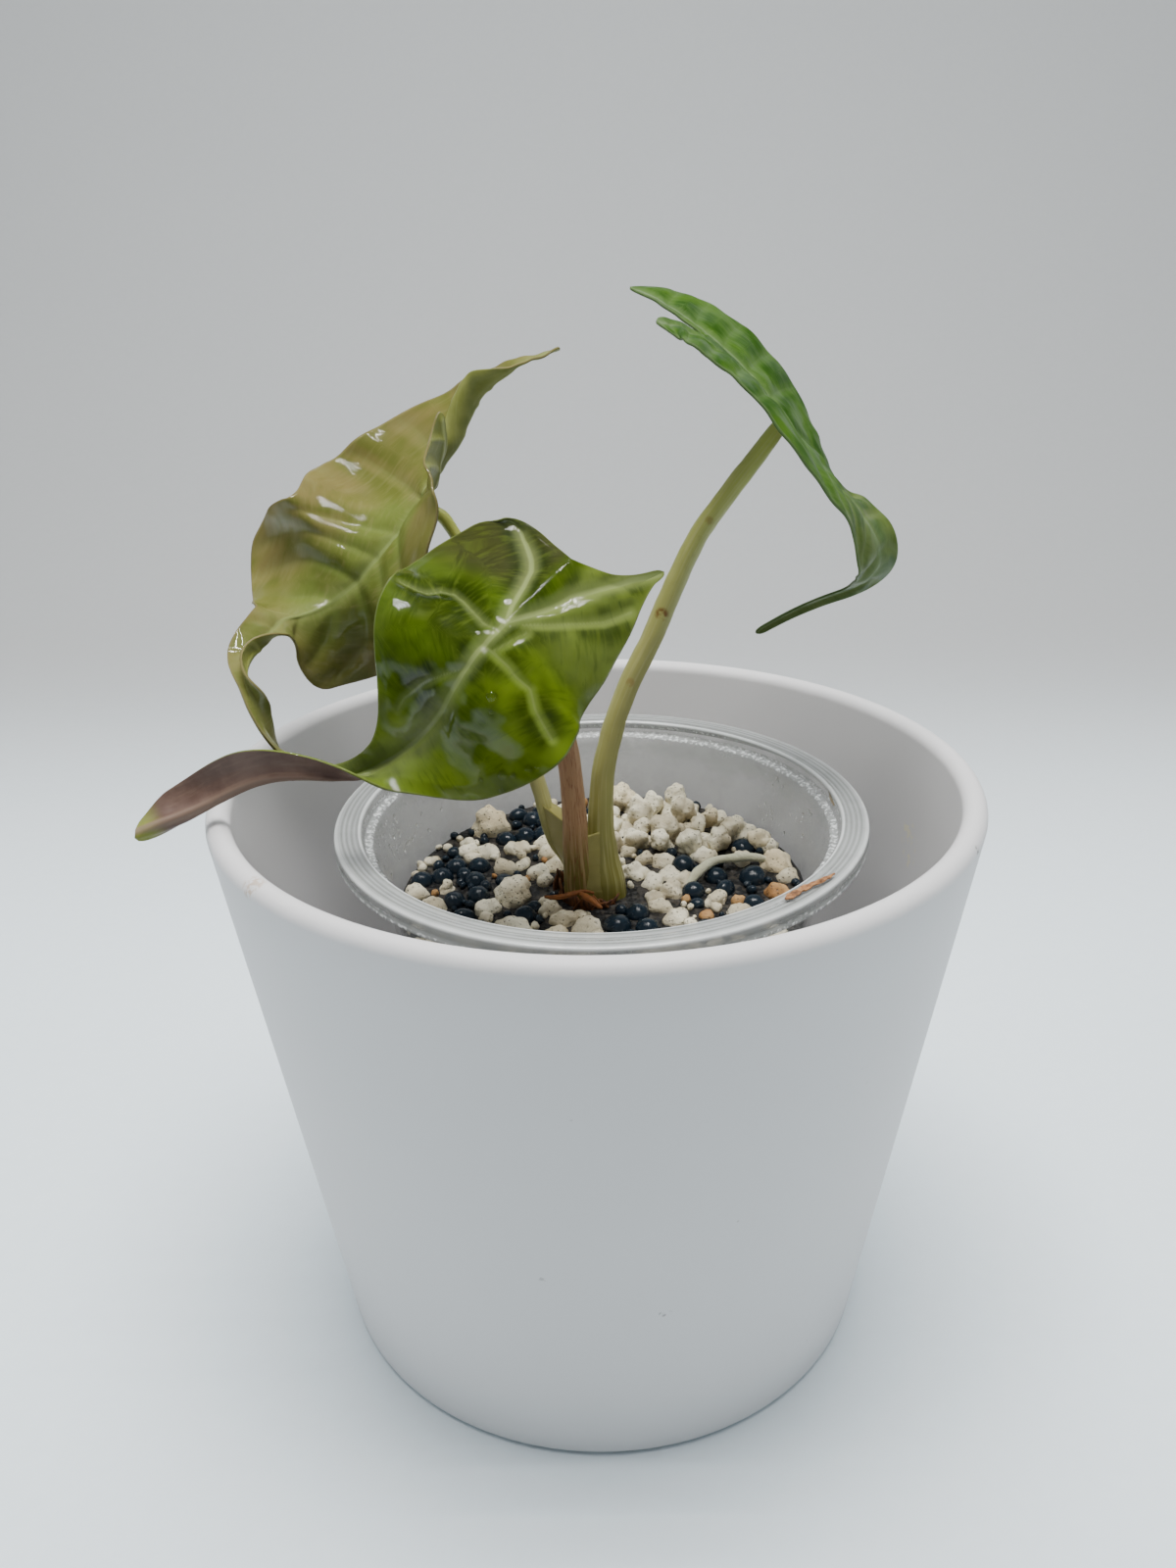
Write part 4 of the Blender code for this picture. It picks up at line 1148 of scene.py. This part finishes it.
def blade(name, columns, upper, under):
    """A finished leaf blade, a little under half a millimetre thick."""
    form = BLADES[name]
    spines = {side: midrib(form, side) for side in "ab"}
    mesh = bmesh.new()
    mesh.verts.layers.float_vector.new("leaf")
    for label in ("strong", "fine", "edge"):
        mesh.verts.layers.float.new(label)
    layers = {"leaf": mesh.verts.layers.float_vector["leaf"]}
    layers.update({label: mesh.verts.layers.float[label] for label in ("strong", "fine", "edge")})
    for side in "ab":
        half_grid(mesh, layers, form, side, spines, columns)
    bmesh.ops.remove_doubles(mesh, verts=mesh.verts, dist=0.000004)
    mesh.normal_update()
    pushes = []
    for vert, normal in zip(mesh.verts, soft_normals(mesh, 4)):
        x, y, _ = vert[layers["leaf"]]
        push = relief(form, x, y, vert[layers["strong"]], vert[layers["fine"]],
                      vert[layers["edge"]])
        pushes.append(normal * push * MM)
    for vert, push in zip(mesh.verts, pushes):
        vert.co += push
    for face in mesh.faces:
        face.smooth = True
    leaf = finished("leaf_" + name, mesh, upper, under)
    shell = leaf.modifiers.new("thickness", "SOLIDIFY")
    shell.thickness = 0.44 * MM
    shell.offset = 0
    shell.material_offset = 1
    shell.material_offset_rim = 0
    return leaf


# %% Leaf finishes
def leaf_finish(name, tones, vein_tone, edge_tone, zones, wet, glow=(1.0, 1.0)):
    """The upper face: tones between the veins, zones placed on the leaf, veins and margin."""
    finish = Finish(name)
    flat = finish.attribute("leaf", "Vector")
    along = finish.add("ShaderNodeSeparateXYZ", None, {0: flat}, "X")
    across, run = along.output("Y"), along.output("Z")
    strong, fine, edge = (finish.attribute(label) for label in ("strong", "fine", "edge"))
    drawn = finish.add("ShaderNodeCombineXYZ", None, {"X": along * MM, "Y": across * MM})
    nearest = strong.maths("MINIMUM", fine)
    feather = finish.add("ShaderNodeCombineXYZ", None, {
        "X": run * MM, "Y": nearest * (0.16 * MM), "Z": along * (0.05 * MM)})
    feather = finish.noise(0.75, 3.0, 0.6, vector=feather)
    blotch = finish.noise(9.0, 2.0, vector=drawn)
    small = finish.noise(1.8, 4.0, 0.6, vector=drawn)
    body = finish.mix(finish.step(blotch, 0.35, 0.65), tones[0], tones[1])
    for low, high, left, right, tone, amount in zones:
        mask = finish.step(along + (small - 0.5) * 5.0, *low) * finish.step(along, *high)
        mask = mask * finish.step(across, *left) * finish.step(across, *right)
        body = finish.mix(mask * amount, body, tone)
    pool = finish.step(nearest, 0.6, 1.6) * finish.step(nearest, 5.0, 2.0)
    body = finish.mix(pool * finish.step(blotch, 0.62, 0.42) * 0.75, body, tones[2])
    body = finish.mix(finish.step(feather, 0.46, 0.72) * 0.38, body, tones[3])
    body = finish.mix(finish.step(feather, 0.50, 0.30) * 0.30, body, tones[2])
    fade = finish.step(along, 50.0, 26.0) * 0.5 + 0.5
    spread = strong / (1.0 + finish.step(along, 12.0, 32.0) * 1.4)
    soft_main = finish.step(spread + (small - 0.5) * 0.8, 2.6, 0.2)
    core_main = finish.step(strong, 0.75, 0.25)
    soft_minor = finish.step(fine + (small - 0.5) * 0.6, 1.7, 0.1)
    core_minor = finish.step(fine, 0.40, 0.10)
    veins = (soft_main * 0.46 + core_main * 0.42) * glow[0]
    veins = veins.maths("MAXIMUM", (soft_minor * 0.34 + core_minor * 0.24) * glow[1]) * fade
    body = finish.mix(veins.maths("MINIMUM", 1.0), body, vein_tone)
    body = finish.mix(finish.step(edge, 0.45, 0.12) * 0.6, body, edge_tone)
    damp = finish.step(finish.noise(7.0, 2.0, vector=drawn), 0.40, 0.56)
    height = feather * 0.35 - core_main * 0.3 + finish.noise(0.9, 2.0, vector=drawn) * 0.2
    return finish.use({
        "Base Color": body,
        "Roughness": wet[0] + (wet[1] - wet[0]) * (1.0 - damp),
        "Specular IOR Level": 0.03,
        "Coat Weight": damp * wet[2],
        "Coat Roughness": 0.02,
        "Coat IOR": 1.4,
        "Normal": finish.bump(height, 0.14, 0.30),
    })


def underside_finish(name, body_tones, vein_tone):
    """The lower face: duller, with raised veins."""
    finish = Finish(name)
    flat = finish.attribute("leaf", "Vector")
    strong, fine = finish.attribute("strong"), finish.attribute("fine")
    along = finish.add("ShaderNodeSeparateXYZ", None, {0: flat}, "X")
    scaled = finish.add("ShaderNodeCombineXYZ", None, {
        "X": along * MM, "Y": along.output("Y") * MM})
    blotch = finish.noise(7.0, 4.0, 0.6, vector=scaled)
    body = finish.mix(finish.step(blotch, 0.3, 0.7), body_tones[0], body_tones[1])
    body = finish.mix(finish.step(along, body_tones[3], body_tones[3] + 4.0), body, body_tones[2])
    stretched = finish.add("ShaderNodeMapping", None, {"Vector": scaled, "Scale": (0.15, 1, 1)})
    streaks = finish.noise(0.9, 3.0, vector=stretched)
    body = finish.mix(finish.step(streaks, 0.5, 0.75) * 0.35, body, vein_tone)
    body = finish.mix(finish.step(strong, 0.9, 0.3) * 0.7, body, vein_tone)
    body = finish.mix(finish.step(fine, 0.6, 0.2) * 0.4, body, vein_tone)
    height = finish.step(strong, 1.2, 0.2) + finish.step(fine, 0.8, 0.1) * 0.5
    return finish.use({
        "Base Color": body, "Roughness": 0.42 + blotch * 0.2, "Specular IOR Level": 0.25,
        "Normal": finish.bump(height + streaks * 0.3, 0.3, 0.6)})


# %% The three blades
BLADES["front"].update(seed=1.7, quilt=1.0, crimp=0.5)
BLADES["back"].update(seed=5.3, quilt=0.85, crimp=1.5)
BLADES["right"].update(seed=9.1, quilt=0.7, crimp=0.5)
WIDE = (-90.0, -89.0)
FAR = (90.0, 89.0)
front_upper = leaf_finish(
    "front_leaf_upper",
    (colour(48, 64, 0), colour(62, 82, 2), colour(24, 38, 0), colour(84, 98, 30)),
    colour(128, 140, 86), colour(104, 114, 62),
    [((-3.0, 2.0), FAR, (0.5, 3.5), FAR, colour(88, 108, 16), 0.85),
     ((20.0, 30.0), FAR, WIDE, FAR, colour(94, 114, 34), 0.6),
     (WIDE, FAR, WIDE, (-13.0, -18.0), colour(78, 96, 30), 0.5),
     (WIDE, (2.0, -4.0), (1.0, 4.0), FAR, colour(96, 110, 46), 0.85),
     ((-3.0, 1.0), (12.0, 7.0), WIDE, (-1.0, -3.0), colour(28, 36, 0), 0.6),
     ((10.0, 14.0), (26.0, 20.0), (2.0, 4.0), (12.0, 9.0), colour(44, 66, 0), 0.6),
     (WIDE, (-3.0, -9.0), WIDE, (1.0, -3.0), colour(54, 56, 26), 0.95)],
    (0.34, 0.5, 1.0), (1.0, 0.8))
back_upper = leaf_finish(
    "back_leaf_upper",
    (colour(98, 98, 48), colour(110, 104, 60), colour(84, 90, 38), colour(118, 116, 72)),
    colour(118, 130, 78), colour(112, 102, 68),
    [((-6.0, 0.0), (34.0, 24.0), (-13.0, -5.0), (12.0, 5.0), colour(88, 106, 42), 0.75),
     (WIDE, (30.0, 24.0), WIDE, (-13.0, -18.0), colour(112, 100, 58), 0.6)],
    (0.36, 0.5, 0.7), (0.8, 0.35))
right_upper = leaf_finish(
    "right_leaf_upper",
    (colour(40, 72, 2), colour(56, 86, 18), colour(26, 58, 0), colour(78, 102, 50)),
    colour(104, 122, 86), colour(96, 114, 76),
    [((12.0, 22.0), FAR, WIDE, FAR, colour(84, 94, 50), 0.8)],
    (0.42, 0.56, 0.15), (0.75, 0.35))
front_under = underside_finish(
    "front_leaf_under",
    (colour(84, 64, 56), colour(106, 86, 76), colour(112, 118, 50), 74.0), colour(122, 102, 88))
back_under = underside_finish(
    "back_leaf_under",
    (colour(100, 106, 46), colour(122, 126, 66), colour(120, 114, 60), 66.0), colour(138, 144, 86))
right_under = underside_finish(
    "right_leaf_under",
    (colour(46, 72, 20), colour(60, 86, 32), colour(66, 78, 24), 58.0), colour(96, 118, 68))

for name, columns, upper, under in (("front", 44, front_upper, front_under),
                                    ("back", 44, back_upper, back_under),
                                    ("right", 38, right_upper, right_under)):
    leaf = blade(name, columns, upper, under)
    hand_over(leaf, "blade_" + name, "blade_" + name)

# %% [markdown]
# ## Stalks
#
# A leaf stalk is a round bar that follows a path and gets thinner. Geometry Nodes sweep it: the
# points of the path carry a radius, the curve is resampled, and a circle is drawn along it. The
# tree also writes two numbers on the skin, how far along and how far round a point is, so that
# the finish can draw streaks that run with the stalk and change colour from foot to leaf.

# %% Sweep recipe
sweep_recipe = Recipe("sweep", {
    "Step": "NodeSocketFloat", "Sides": "NodeSocketInt", "Waver": "NodeSocketFloat",
    "Material": "NodeSocketMaterial"})
path_curve = sweep_recipe.add(
    "GeometryNodeMeshToCurve", None, {"Mesh": sweep_recipe.given["Geometry"]})
even_path = sweep_recipe.add("GeometryNodeResampleCurve", {"mode": "LENGTH"}, {
    "Curve": path_curve, "Length": sweep_recipe.given["Step"]})
path_place = sweep_recipe.add("GeometryNodeSplineParameter", out="Factor")
marked_path = sweep_recipe.add("GeometryNodeStoreNamedAttribute", {
    "data_type": "FLOAT", "domain": "POINT"}, {
    "Geometry": even_path, "Name": "along", "Value": path_place})
ring = sweep_recipe.add("GeometryNodeCurvePrimitiveCircle", None, {
    "Resolution": sweep_recipe.given["Sides"], "Radius": 1.0}, "Curve")
ring_place = sweep_recipe.add("GeometryNodeSplineParameter", out="Factor")
marked_ring = sweep_recipe.add("GeometryNodeStoreNamedAttribute", {
    "data_type": "FLOAT", "domain": "POINT"}, {
    "Geometry": ring, "Name": "around", "Value": ring_place})
thick = sweep_recipe.add(
    "GeometryNodeInputNamedAttribute", {"data_type": "FLOAT"}, {"Name": "thick"})
skin_mesh = sweep_recipe.add("GeometryNodeCurveToMesh", None, {
    "Curve": marked_path, "Profile Curve": marked_ring, "Scale": thick, "Fill Caps": True})
waver_noise = sweep_recipe.add("ShaderNodeTexNoise", None, {"Scale": 260.0, "Detail": 1.0}, "Fac")
waver = (waver_noise - 0.5) * sweep_recipe.given["Waver"] * MM
waver_vector = sweep_recipe.add("ShaderNodeVectorMath", {"operation": "SCALE"}, {
    0: sweep_recipe.add("GeometryNodeInputNormal"), "Scale": waver})
wavered = sweep_recipe.add("GeometryNodeSetPosition", None, {
    "Geometry": skin_mesh, "Offset": waver_vector})
sweep_recipe.end(wavered)


def path_mesh(points, step=1.0):
    """A mesh line through (x, y, z, diameter) in millimetres, sampled evenly and smoothly."""
    lengths = [0.0]
    for near, far in zip(points, points[1:]):
        lengths.append(lengths[-1] + (Vector(far[:3]) - Vector(near[:3])).length)
    keys = [[(run, point[axis]) for run, point in zip(lengths, points)] for axis in range(4)]
    count = max(2, round(lengths[-1] / step))
    samples = [[smooth(values, lengths[-1] * i / count) for values in keys]
               for i in range(count + 1)]
    mesh = bpy.data.meshes.new("path")
    mesh.from_pydata([Vector(sample[:3]) * MM for sample in samples],
                     [(i, i + 1) for i in range(count)], [])
    thick_of = mesh.attributes.new("thick", "FLOAT", "POINT")
    for i, sample in enumerate(samples):
        thick_of.data[i].value = sample[3] / 2 * MM
    return mesh


# %% Stalk finishes
def stalk_finish(name, foot, middle, top, streak, spots=(), rise=(0.0, 0.35), lined=0.0):
    """A smooth stalk: its colour changes upwards, with fine streaks along it."""
    finish = Finish(name)
    along, around = finish.attribute("along"), finish.attribute("around")
    angle = around * math.tau
    wrapped = finish.add("ShaderNodeCombineXYZ", None, {
        "X": angle.maths("COSINE"), "Y": angle.maths("SINE"), "Z": along * 1.6})
    lines = finish.add("ShaderNodeTexNoise", None, {
        "Vector": wrapped, "Scale": 5.5, "Detail": 3.0}, "Fac")
    mottle = finish.noise(2.2, 4.0, 0.6)
    body = finish.mix(finish.step(along, *rise), foot, middle)
    body = finish.mix(finish.step(along, 0.45, 1.0), body, top)
    body = finish.mix(finish.step(lines, 0.44, 0.72) * 0.45, body, streak)
    body = finish.mix(finish.step(mottle, 0.58, 0.74) * 0.16, body, tuple(
        value * 0.6 for value in middle))
    red_line = finish.step((lines - 0.5).maths("ABSOLUTE"), 0.035, 0.010)
    body = finish.mix(red_line * lined, body, colour(112, 52, 34))
    for spot, radius, tone, amount in spots:
        mask = finish.near(spot, radius) * finish.step(mottle, 0.34, 0.5)
        body = finish.mix(mask * amount, body, tone)
    return finish.use({
        "Base Color": body, "Roughness": 0.36 + mottle * 0.18, "Specular IOR Level": 0.3,
        "Coat Weight": 0.15, "Coat Roughness": 0.2,
        "Normal": finish.bump(lines * 0.8 + mottle * 0.2, 0.10, 0.5)})


# %% Stalks
STALKS = {
    "right": [(1.8, -3.0, 84.5, 8.4), (1.7, -2.9, 90.3, 7.4), (1.2, -2.3, 95.5, 6.0),
              (0.9, -1.8, 101, 5.1),
              (1.2, -0.6, 109.5, 4.4), (3.0, 0.7, 118.7, 4.1), (6.2, 1.9, 127.7, 3.9),
              (10.5, 3.1, 136.5, 3.9), (14.3, 4.3, 145.2, 3.8), (18.4, 5.6, 153.6, 3.6),
              (24.4, 6.8, 161.9, 3.4), (30.4, 7.8, 169.5, 3.1), (33.3, 8.0, 173.4, 2.6)],
    "front": [(-3.2, -4.4, 84.5, 6.2), (-3.4, -4.5, 90.3, 5.6), (-3.8, -5.2, 99, 4.9),
              (-4.2, -7.5, 112, 4.2), (-5.3, -9.2, 122, 4.0), (-8.2, -12.0, 134, 3.8),
              (-11.3, -16.0, 141.5, 3.4), (-13.4, -21.0, 146.2, 2.8)],
    "back": [(-4.3, 0.6, 84.5, 3.4), (-4.3, 0.6, 90.8, 3.2), (-8, 1.7, 98, 3.2),
             (-10.6, 4, 107, 3.1), (-14.5, 8, 122, 2.9), (-20.2, 15, 142, 2.6),
             (-25.4, 20.0, 151.7, 2.4), (-28.8, 20.2, 156.0, 2.3), (-32.9, 17.9, 156.3, 2.0)],
}
stalk_finishes = {
    "right": stalk_finish(
        "green_stalk", colour(104, 100, 40), colour(150, 150, 88), colour(158, 164, 84),
        colour(172, 170, 114),
        [((12.2, 2.2, 141.0), 1.5, colour(104, 62, 28), 0.9),
         ((6.5, 0.0, 129.0), 1.1, colour(134, 104, 58), 0.5),
         ((20.5, 4.6, 157.0), 1.0, colour(120, 94, 46), 0.5)]),
    "front": stalk_finish(
        "rosy_stalk", colour(104, 96, 40), colour(172, 134, 98), colour(160, 120, 88),
        colour(190, 158, 122), rise=(0.16, 0.34), lined=0.5),
    "back": stalk_finish(
        "pale_stalk", colour(128, 124, 68), colour(154, 152, 96), colour(158, 166, 74),
        colour(172, 170, 118)),
    "sheath": stalk_finish(
        "sheath_skin", colour(92, 84, 30), colour(134, 128, 70), colour(144, 140, 84),
        colour(148, 144, 88), rise=(0.02, 0.22)),
}
for name, points in STALKS.items():
    stalk = sweep_recipe.run("stalk_" + name, path_mesh(points), {
        "Step": 0.7 * MM, "Sides": 40, "Waver": 0.35, "Material": stalk_finishes[name]})
    hand_over(stalk, "petiole_" + name, "petiole_" + name)


# %% Sheath
def web(mesh, near_stalk, far_stalk, low, high):
    """A skin drawn round the feet of two stalks, with a hollow between them at its top."""
    along, around = mesh.verts.layers.float["along"], mesh.verts.layers.float["around"]
    rings = []
    for level in range(round((high - low) / 0.5) + 1):
        z = low + level * 0.5
        round_stalks = []
        for points in (near_stalk, far_stalk):
            x, y, thick = (smooth([(point[2], point[axis]) for point in points], z)
                           for axis in (0, 1, 3))
            round_stalks.append((Vector((x, y, z)), thick / 2 - 0.06 - 0.6 * (z - low) / (high - low)))
        ring = []
        for k in range(48):
            angle = k * math.tau / 48
            out = Vector((math.cos(angle), math.sin(angle), 0.0))
            spot, radius = max(round_stalks, key=lambda item: item[0].dot(out) + item[1])
            vert = mesh.verts.new((spot + out * radius) * MM)
            vert[along], vert[around] = (z - 84.5) / 70, k / 48
            ring.append(vert)
        rings.append(ring)
    for under, over in zip(rings, rings[1:]):
        for k in range(48):
            mesh.faces.new((under[k], under[k - 47], over[k - 47], over[k]))
    for ring, drop in ((rings[0], 0.0), (rings[-1], 2.0)):
        middle = sum((vert.co for vert in ring), Vector()) / 48 - Vector((0, 0, drop * MM))
        centre = mesh.verts.new(middle)
        centre[along] = ring[0][along]
        for k in range(48):
            mesh.faces.new((centre, ring[k], ring[k - 47]))


def sheath():
    mesh = bmesh.new()
    for label in ("along", "around"):
        mesh.verts.layers.float.new(label)
    web(mesh, STALKS["back"], STALKS["front"], 86.5, 104.5)
    web(mesh, STALKS["front"], STALKS["right"], 86.0, 101.5)
    bmesh.ops.recalc_face_normals(mesh, faces=mesh.faces)
    for face in mesh.faces:
        face.smooth = True
    return finished("sheath", mesh, stalk_finishes["sheath"])


hand_over(sheath(), "petiole_front", "petiole_front", hides=False)

# %% [markdown]
# ## The crown
#
# The stalks rise from a short stem wrapped in the dry brown remains of old leaf bases. The stem
# is a turned, lumpy core. Round it stand papery scales: thin curved sheets with torn upper
# edges, each bent round the stem and leaning out by its own amount.

# %% Crown
def crown_finish(name, dark, pale):
    finish = Finish(name)
    grain = finish.add("ShaderNodeMapping", None, {"Vector": finish.where, "Scale": (1, 1, 0.2)})
    fibres = finish.noise(0.8, 4.0, 0.65, vector=grain)
    body = finish.mix(finish.step(fibres, 0.3, 0.7), dark, pale)
    body = finish.mix(finish.step(finish.noise(3.0), 0.5, 0.7) * 0.6, body, (0.03, 0.018, 0.012))
    return finish.use({
        "Base Color": body, "Roughness": 0.55 + fibres * 0.25,
        "Normal": finish.bump(fibres, 0.4, 0.9)})


def crown_core():
    profile = [(0, 89.6), (3.0, 89.5), (5.0, 88.8), (6.0, 87.6), (6.4, 86.2), (6.0, 84.6),
               (6.1, 82.0), (5.9, 78.0), (5.6, 74.4), (0, 74.0)]
    mesh = turned(profile, 48)
    for vert in mesh.verts:
        push = noise.noise(vert.co * 420) * 0.5 * MM
        vert.co += vert.co.xy.to_3d().normalized() * push
        vert.co.xy += CROWN_CENTRE * MM
    return finished("crown_core", mesh, crown_finish(
        "old_stem", colour(58, 34, 22), colour(120, 78, 44)))


def scale(mesh, middle, width, low, high, lean, seed):
    """One papery scale: angles in degrees, heights in millimetres."""
    columns, rows = 12, 9
    grid = []
    for row in range(rows + 1):
        line = []
        for column in range(columns + 1):
            across = column / columns * 2 - 1
            rise = row / rows
            torn = noise.noise(Vector((across * 3.2, seed, 0))) * 1.3
            taper = 1.0 - 0.75 * across * across
            z = low + (high - low + torn) * rise * (0.45 + 0.55 * taper)
            angle = math.radians(middle + width * across * (1.0 - 0.25 * rise))
            away_from = CROWN_RADIUS - 0.1 + lean * rise ** 1.5
            away_from += 0.5 * noise.noise(Vector((across * 2, rise * 2, seed)))
            point = Vector((away_from * math.cos(angle), away_from * math.sin(angle), z))
            line.append(mesh.verts.new((point + CROWN_CENTRE.to_3d()) * MM))
        grid.append(line)
    for low_line, high_line in zip(grid, grid[1:]):
        for i in range(columns):
            mesh.faces.new((low_line[i], low_line[i + 1], high_line[i + 1], high_line[i]))


def crown_scales():
    mesh = bmesh.new()
    chance = random.Random(5)
    for i in range(11):
        scale(mesh, i * 137.5 - 90, chance.uniform(28, 46), chance.uniform(82.0, 84.0),
              chance.uniform(87.5, 91.0), chance.uniform(0.1, 1.3), i * 3.7)
    for face in mesh.faces:
        face.smooth = True
    made = finished("crown_scales", mesh, crown_finish(
        "papery_scale", colour(58, 32, 16), colour(124, 76, 38)))
    shell = made.modifiers.new("thickness", "SOLIDIFY")
    shell.thickness = 0.28 * MM
    return made


hand_over(crown_core(), "crown", "crown")
hand_over(crown_scales(), "crown", "crown", hides=False)

# %% [markdown]
# ## A root, a splinter and fibres
#
# One pale root runs over the stones. It is swept by the same tree as the stalks. A thin splinter
# of bark lies across the cup's flange, and a few dry fibres cling to the wall.

# %% Root
ROOT_PATH = [(17.2, -3.0, 89.0), (19.6, -0.4, 91.2), (23.4, 3.2, 91.6), (28.0, 4.3, 91.6),
             (32.0, 5.1, 91.0), (34.5, 5.8, 89.2)]
root_skin = Finish("root_skin")
wool = root_skin.noise(0.5, 4.0, 0.7)
root_material = root_skin.use({
    "Base Color": root_skin.mix(root_skin.noise(2.5), colour(176, 176, 140), colour(206, 204, 176)),
    "Roughness": 0.85, "Sheen Weight": 0.5, "Normal": root_skin.bump(wool, 0.4, 1.0)})
thicknesses = (1.2, 1.8, 1.6, 1.75, 1.5, 0.9)
root = sweep_recipe.run("root_pale", path_mesh(
    [(*point, size) for point, size in zip(ROOT_PATH, thicknesses)], 0.5), {
    "Step": 0.4 * MM, "Sides": 20, "Waver": 0.5, "Material": root_material})
hand_over(root, "surface_root", "surface_root")


# %% Splinter
def splinter():
    """A thin sliver with a torn outline, thicker along its middle."""
    mesh = bmesh.new()
    columns, rows = 40, 6
    grid = []
    for i in range(columns + 1):
        t = i / columns
        wide = (1.0 - 0.55 * t) * min(1.0, t * 9 + 0.15) * min(1.0, (1 - t) * 7 + 0.1)
        line = []
        for j in range(rows + 1):
            across = j / rows * 2 - 1
            jag = 1.0 + 0.35 * noise.noise(Vector((t * 14, across * 2, 4.0)))
            x = (t - 0.5) * 12.2
            y = across * 0.74 * wide * jag + 0.25 * math.sin(t * 5)
            z = 0.26 * noise.noise(Vector((t * 8, across, 1.0))) - 0.15 * across * across
            line.append(mesh.verts.new(Vector((x, y, z)) * MM))
        grid.append(line)
    for near, far in zip(grid, grid[1:]):
        for j in range(rows):
            mesh.faces.new((near[j], far[j], far[j + 1], near[j + 1]))
    turn = Matrix.Rotation(math.radians(42.0), 4, "Z")
    spot = Matrix.Translation(Vector((33.6, -32.4, 98.0 + 0.3 + 0.4)) * MM)
    bmesh.ops.transform(mesh, matrix=CUP_FRAME @ spot @ turn, verts=mesh.verts)
    made = finished("splinter_bark", mesh, crown_finish(
        "red_bark", colour(112, 70, 40), colour(176, 128, 84)))
    shell = made.modifiers.new("thickness", "SOLIDIFY")
    shell.thickness = 0.3 * MM
    shell.offset = 0
    return made


hand_over(splinter(), "bark_splinter", "bark_splinter")

# %% [markdown]
# ## Water and loose fibres
#
# The plant had just been sprayed. Drops stand on the inside of the cup's wall and on the front
# leaf, and they are the stone tree's smooth blanks, pressed flat against the surface. The water
# bends light like real water, which is what gives each drop a dark edge and a bright spot.

# %% Drops
water = Finish("water").use({
    "Base Color": (1.0, 1.0, 1.0), "Roughness": 0.02, "IOR": 1.33, "Transmission Weight": 1.0})


def drop_run(name, places, base):
    return stone_recipe.run(name, stone_points(places, base), {
        "Fineness": 2, "Lump size": 1.0, "Lump depth": 0.0, "Material": water})


def wall_drops():
    """Drops on the cup's wall: many on the left, fewer on the right."""
    chance = random.Random(41)
    places = []
    for low, high, count in ((142, 200, 150), (18, 36, 34), (-10, 18, 16)):
        for _ in range(count):
            angle = math.radians(chance.uniform(low, high))
            z = chance.uniform(84.0, 94.2)
            size = 0.16 + 0.34 * chance.random() ** 2
            out = 39.4 + 0.2024 * (z - 82.0) - 0.03
            inward = Vector((-math.cos(angle), -math.sin(angle), 0.2))
            spot = Vector((out * math.cos(angle), out * math.sin(angle), z))
            turn = inward.to_track_quat("Z", "Y")
            places.append((spot, (size, size * 1.1, size * 0.5), turn, "water"))
    return places


def leaf_drops(leaf, wanted):
    """Drops at (x, y, radius) of the flat drawing, set on the finished leaf."""
    drawn = leaf.data.attributes["leaf"].data
    places = []
    for x, y, size in wanted:
        best = min(range(len(drawn)), key=lambda i: (drawn[i].vector[0] - x) ** 2
                   + (drawn[i].vector[1] - y) ** 2)
        vert = leaf.data.vertices[best]
        turn = vert.normal.to_track_quat("Z", "Y")
        places.append((vert.co / MM + vert.normal * 0.25, (size, size, size * 0.55), turn, "water"))
    return places


hand_over(drop_run("drops_cup", wall_drops(), CUP_FRAME), "inner_cup", "inner_cup", hides=False)
front_drops = [(11.0, 6.5, 1.0), (20.0, 14.9, 0.9), (19.0, 16.3, 0.6), (17.0, 17.6, 0.8),
               (16.0, 18.6, 0.5), (22.0, 16.2, 0.6), (23.0, 12.5, 0.4), (12.8, 7.9, 0.5)]
hand_over(drop_run("drops_leaf", leaf_drops(bpy.data.objects["leaf_front"], front_drops),
                   Matrix.Identity(4)), "blade_front", "blade_front", hides=False)


# %% Fibres
def fibre_finish(name, tone, dark):
    finish = Finish(name)
    return finish.use({
        "Base Color": finish.mix(finish.noise(0.8, 3.0), dark, tone), "Roughness": 0.7,
        "Normal": finish.bump(finish.noise(0.4, 2.0), 0.1, 0.6)})


straw = fibre_finish("straw", colour(186, 164, 120), colour(146, 120, 78))
husk = fibre_finish("husk", colour(138, 82, 30), colour(72, 38, 14))
FIBRES = [
    ("inner_cup", straw, [(45.0, 13.8, 105.2, 0.3), (45.6, 10.6, 104.0, 0.5),
                          (45.2, 7.6, 103.6, 0.5), (45.0, 4.4, 103.4, 0.4),
                          (45.1, 2.2, 103.3, 0.25)]),
    ("crown", husk, [(-9.6, -10.2, 91.2, 0.4), (-7.4, -11.0, 91.5, 1.0), (-5.0, -10.4, 91.7, 1.2),
                     (-2.8, -9.4, 91.8, 1.0), (-0.6, -8.6, 91.0, 0.6)]),
    ("crown", husk, [(-3.6, -9.0, 91.6, 0.7), (-2.4, -10.8, 91.6, 1.3), (-0.8, -12.6, 91.4, 1.1),
                     (0.8, -14.4, 91.0, 0.5)]),
]
for number, (node, material, points) in enumerate(FIBRES):
    fibre = sweep_recipe.run(f"fibre_{number}", path_mesh(points, 0.5), {
        "Step": 0.4 * MM, "Sides": 8, "Waver": 0.5, "Material": material})
    hand_over(fibre, node, node, hides=False)
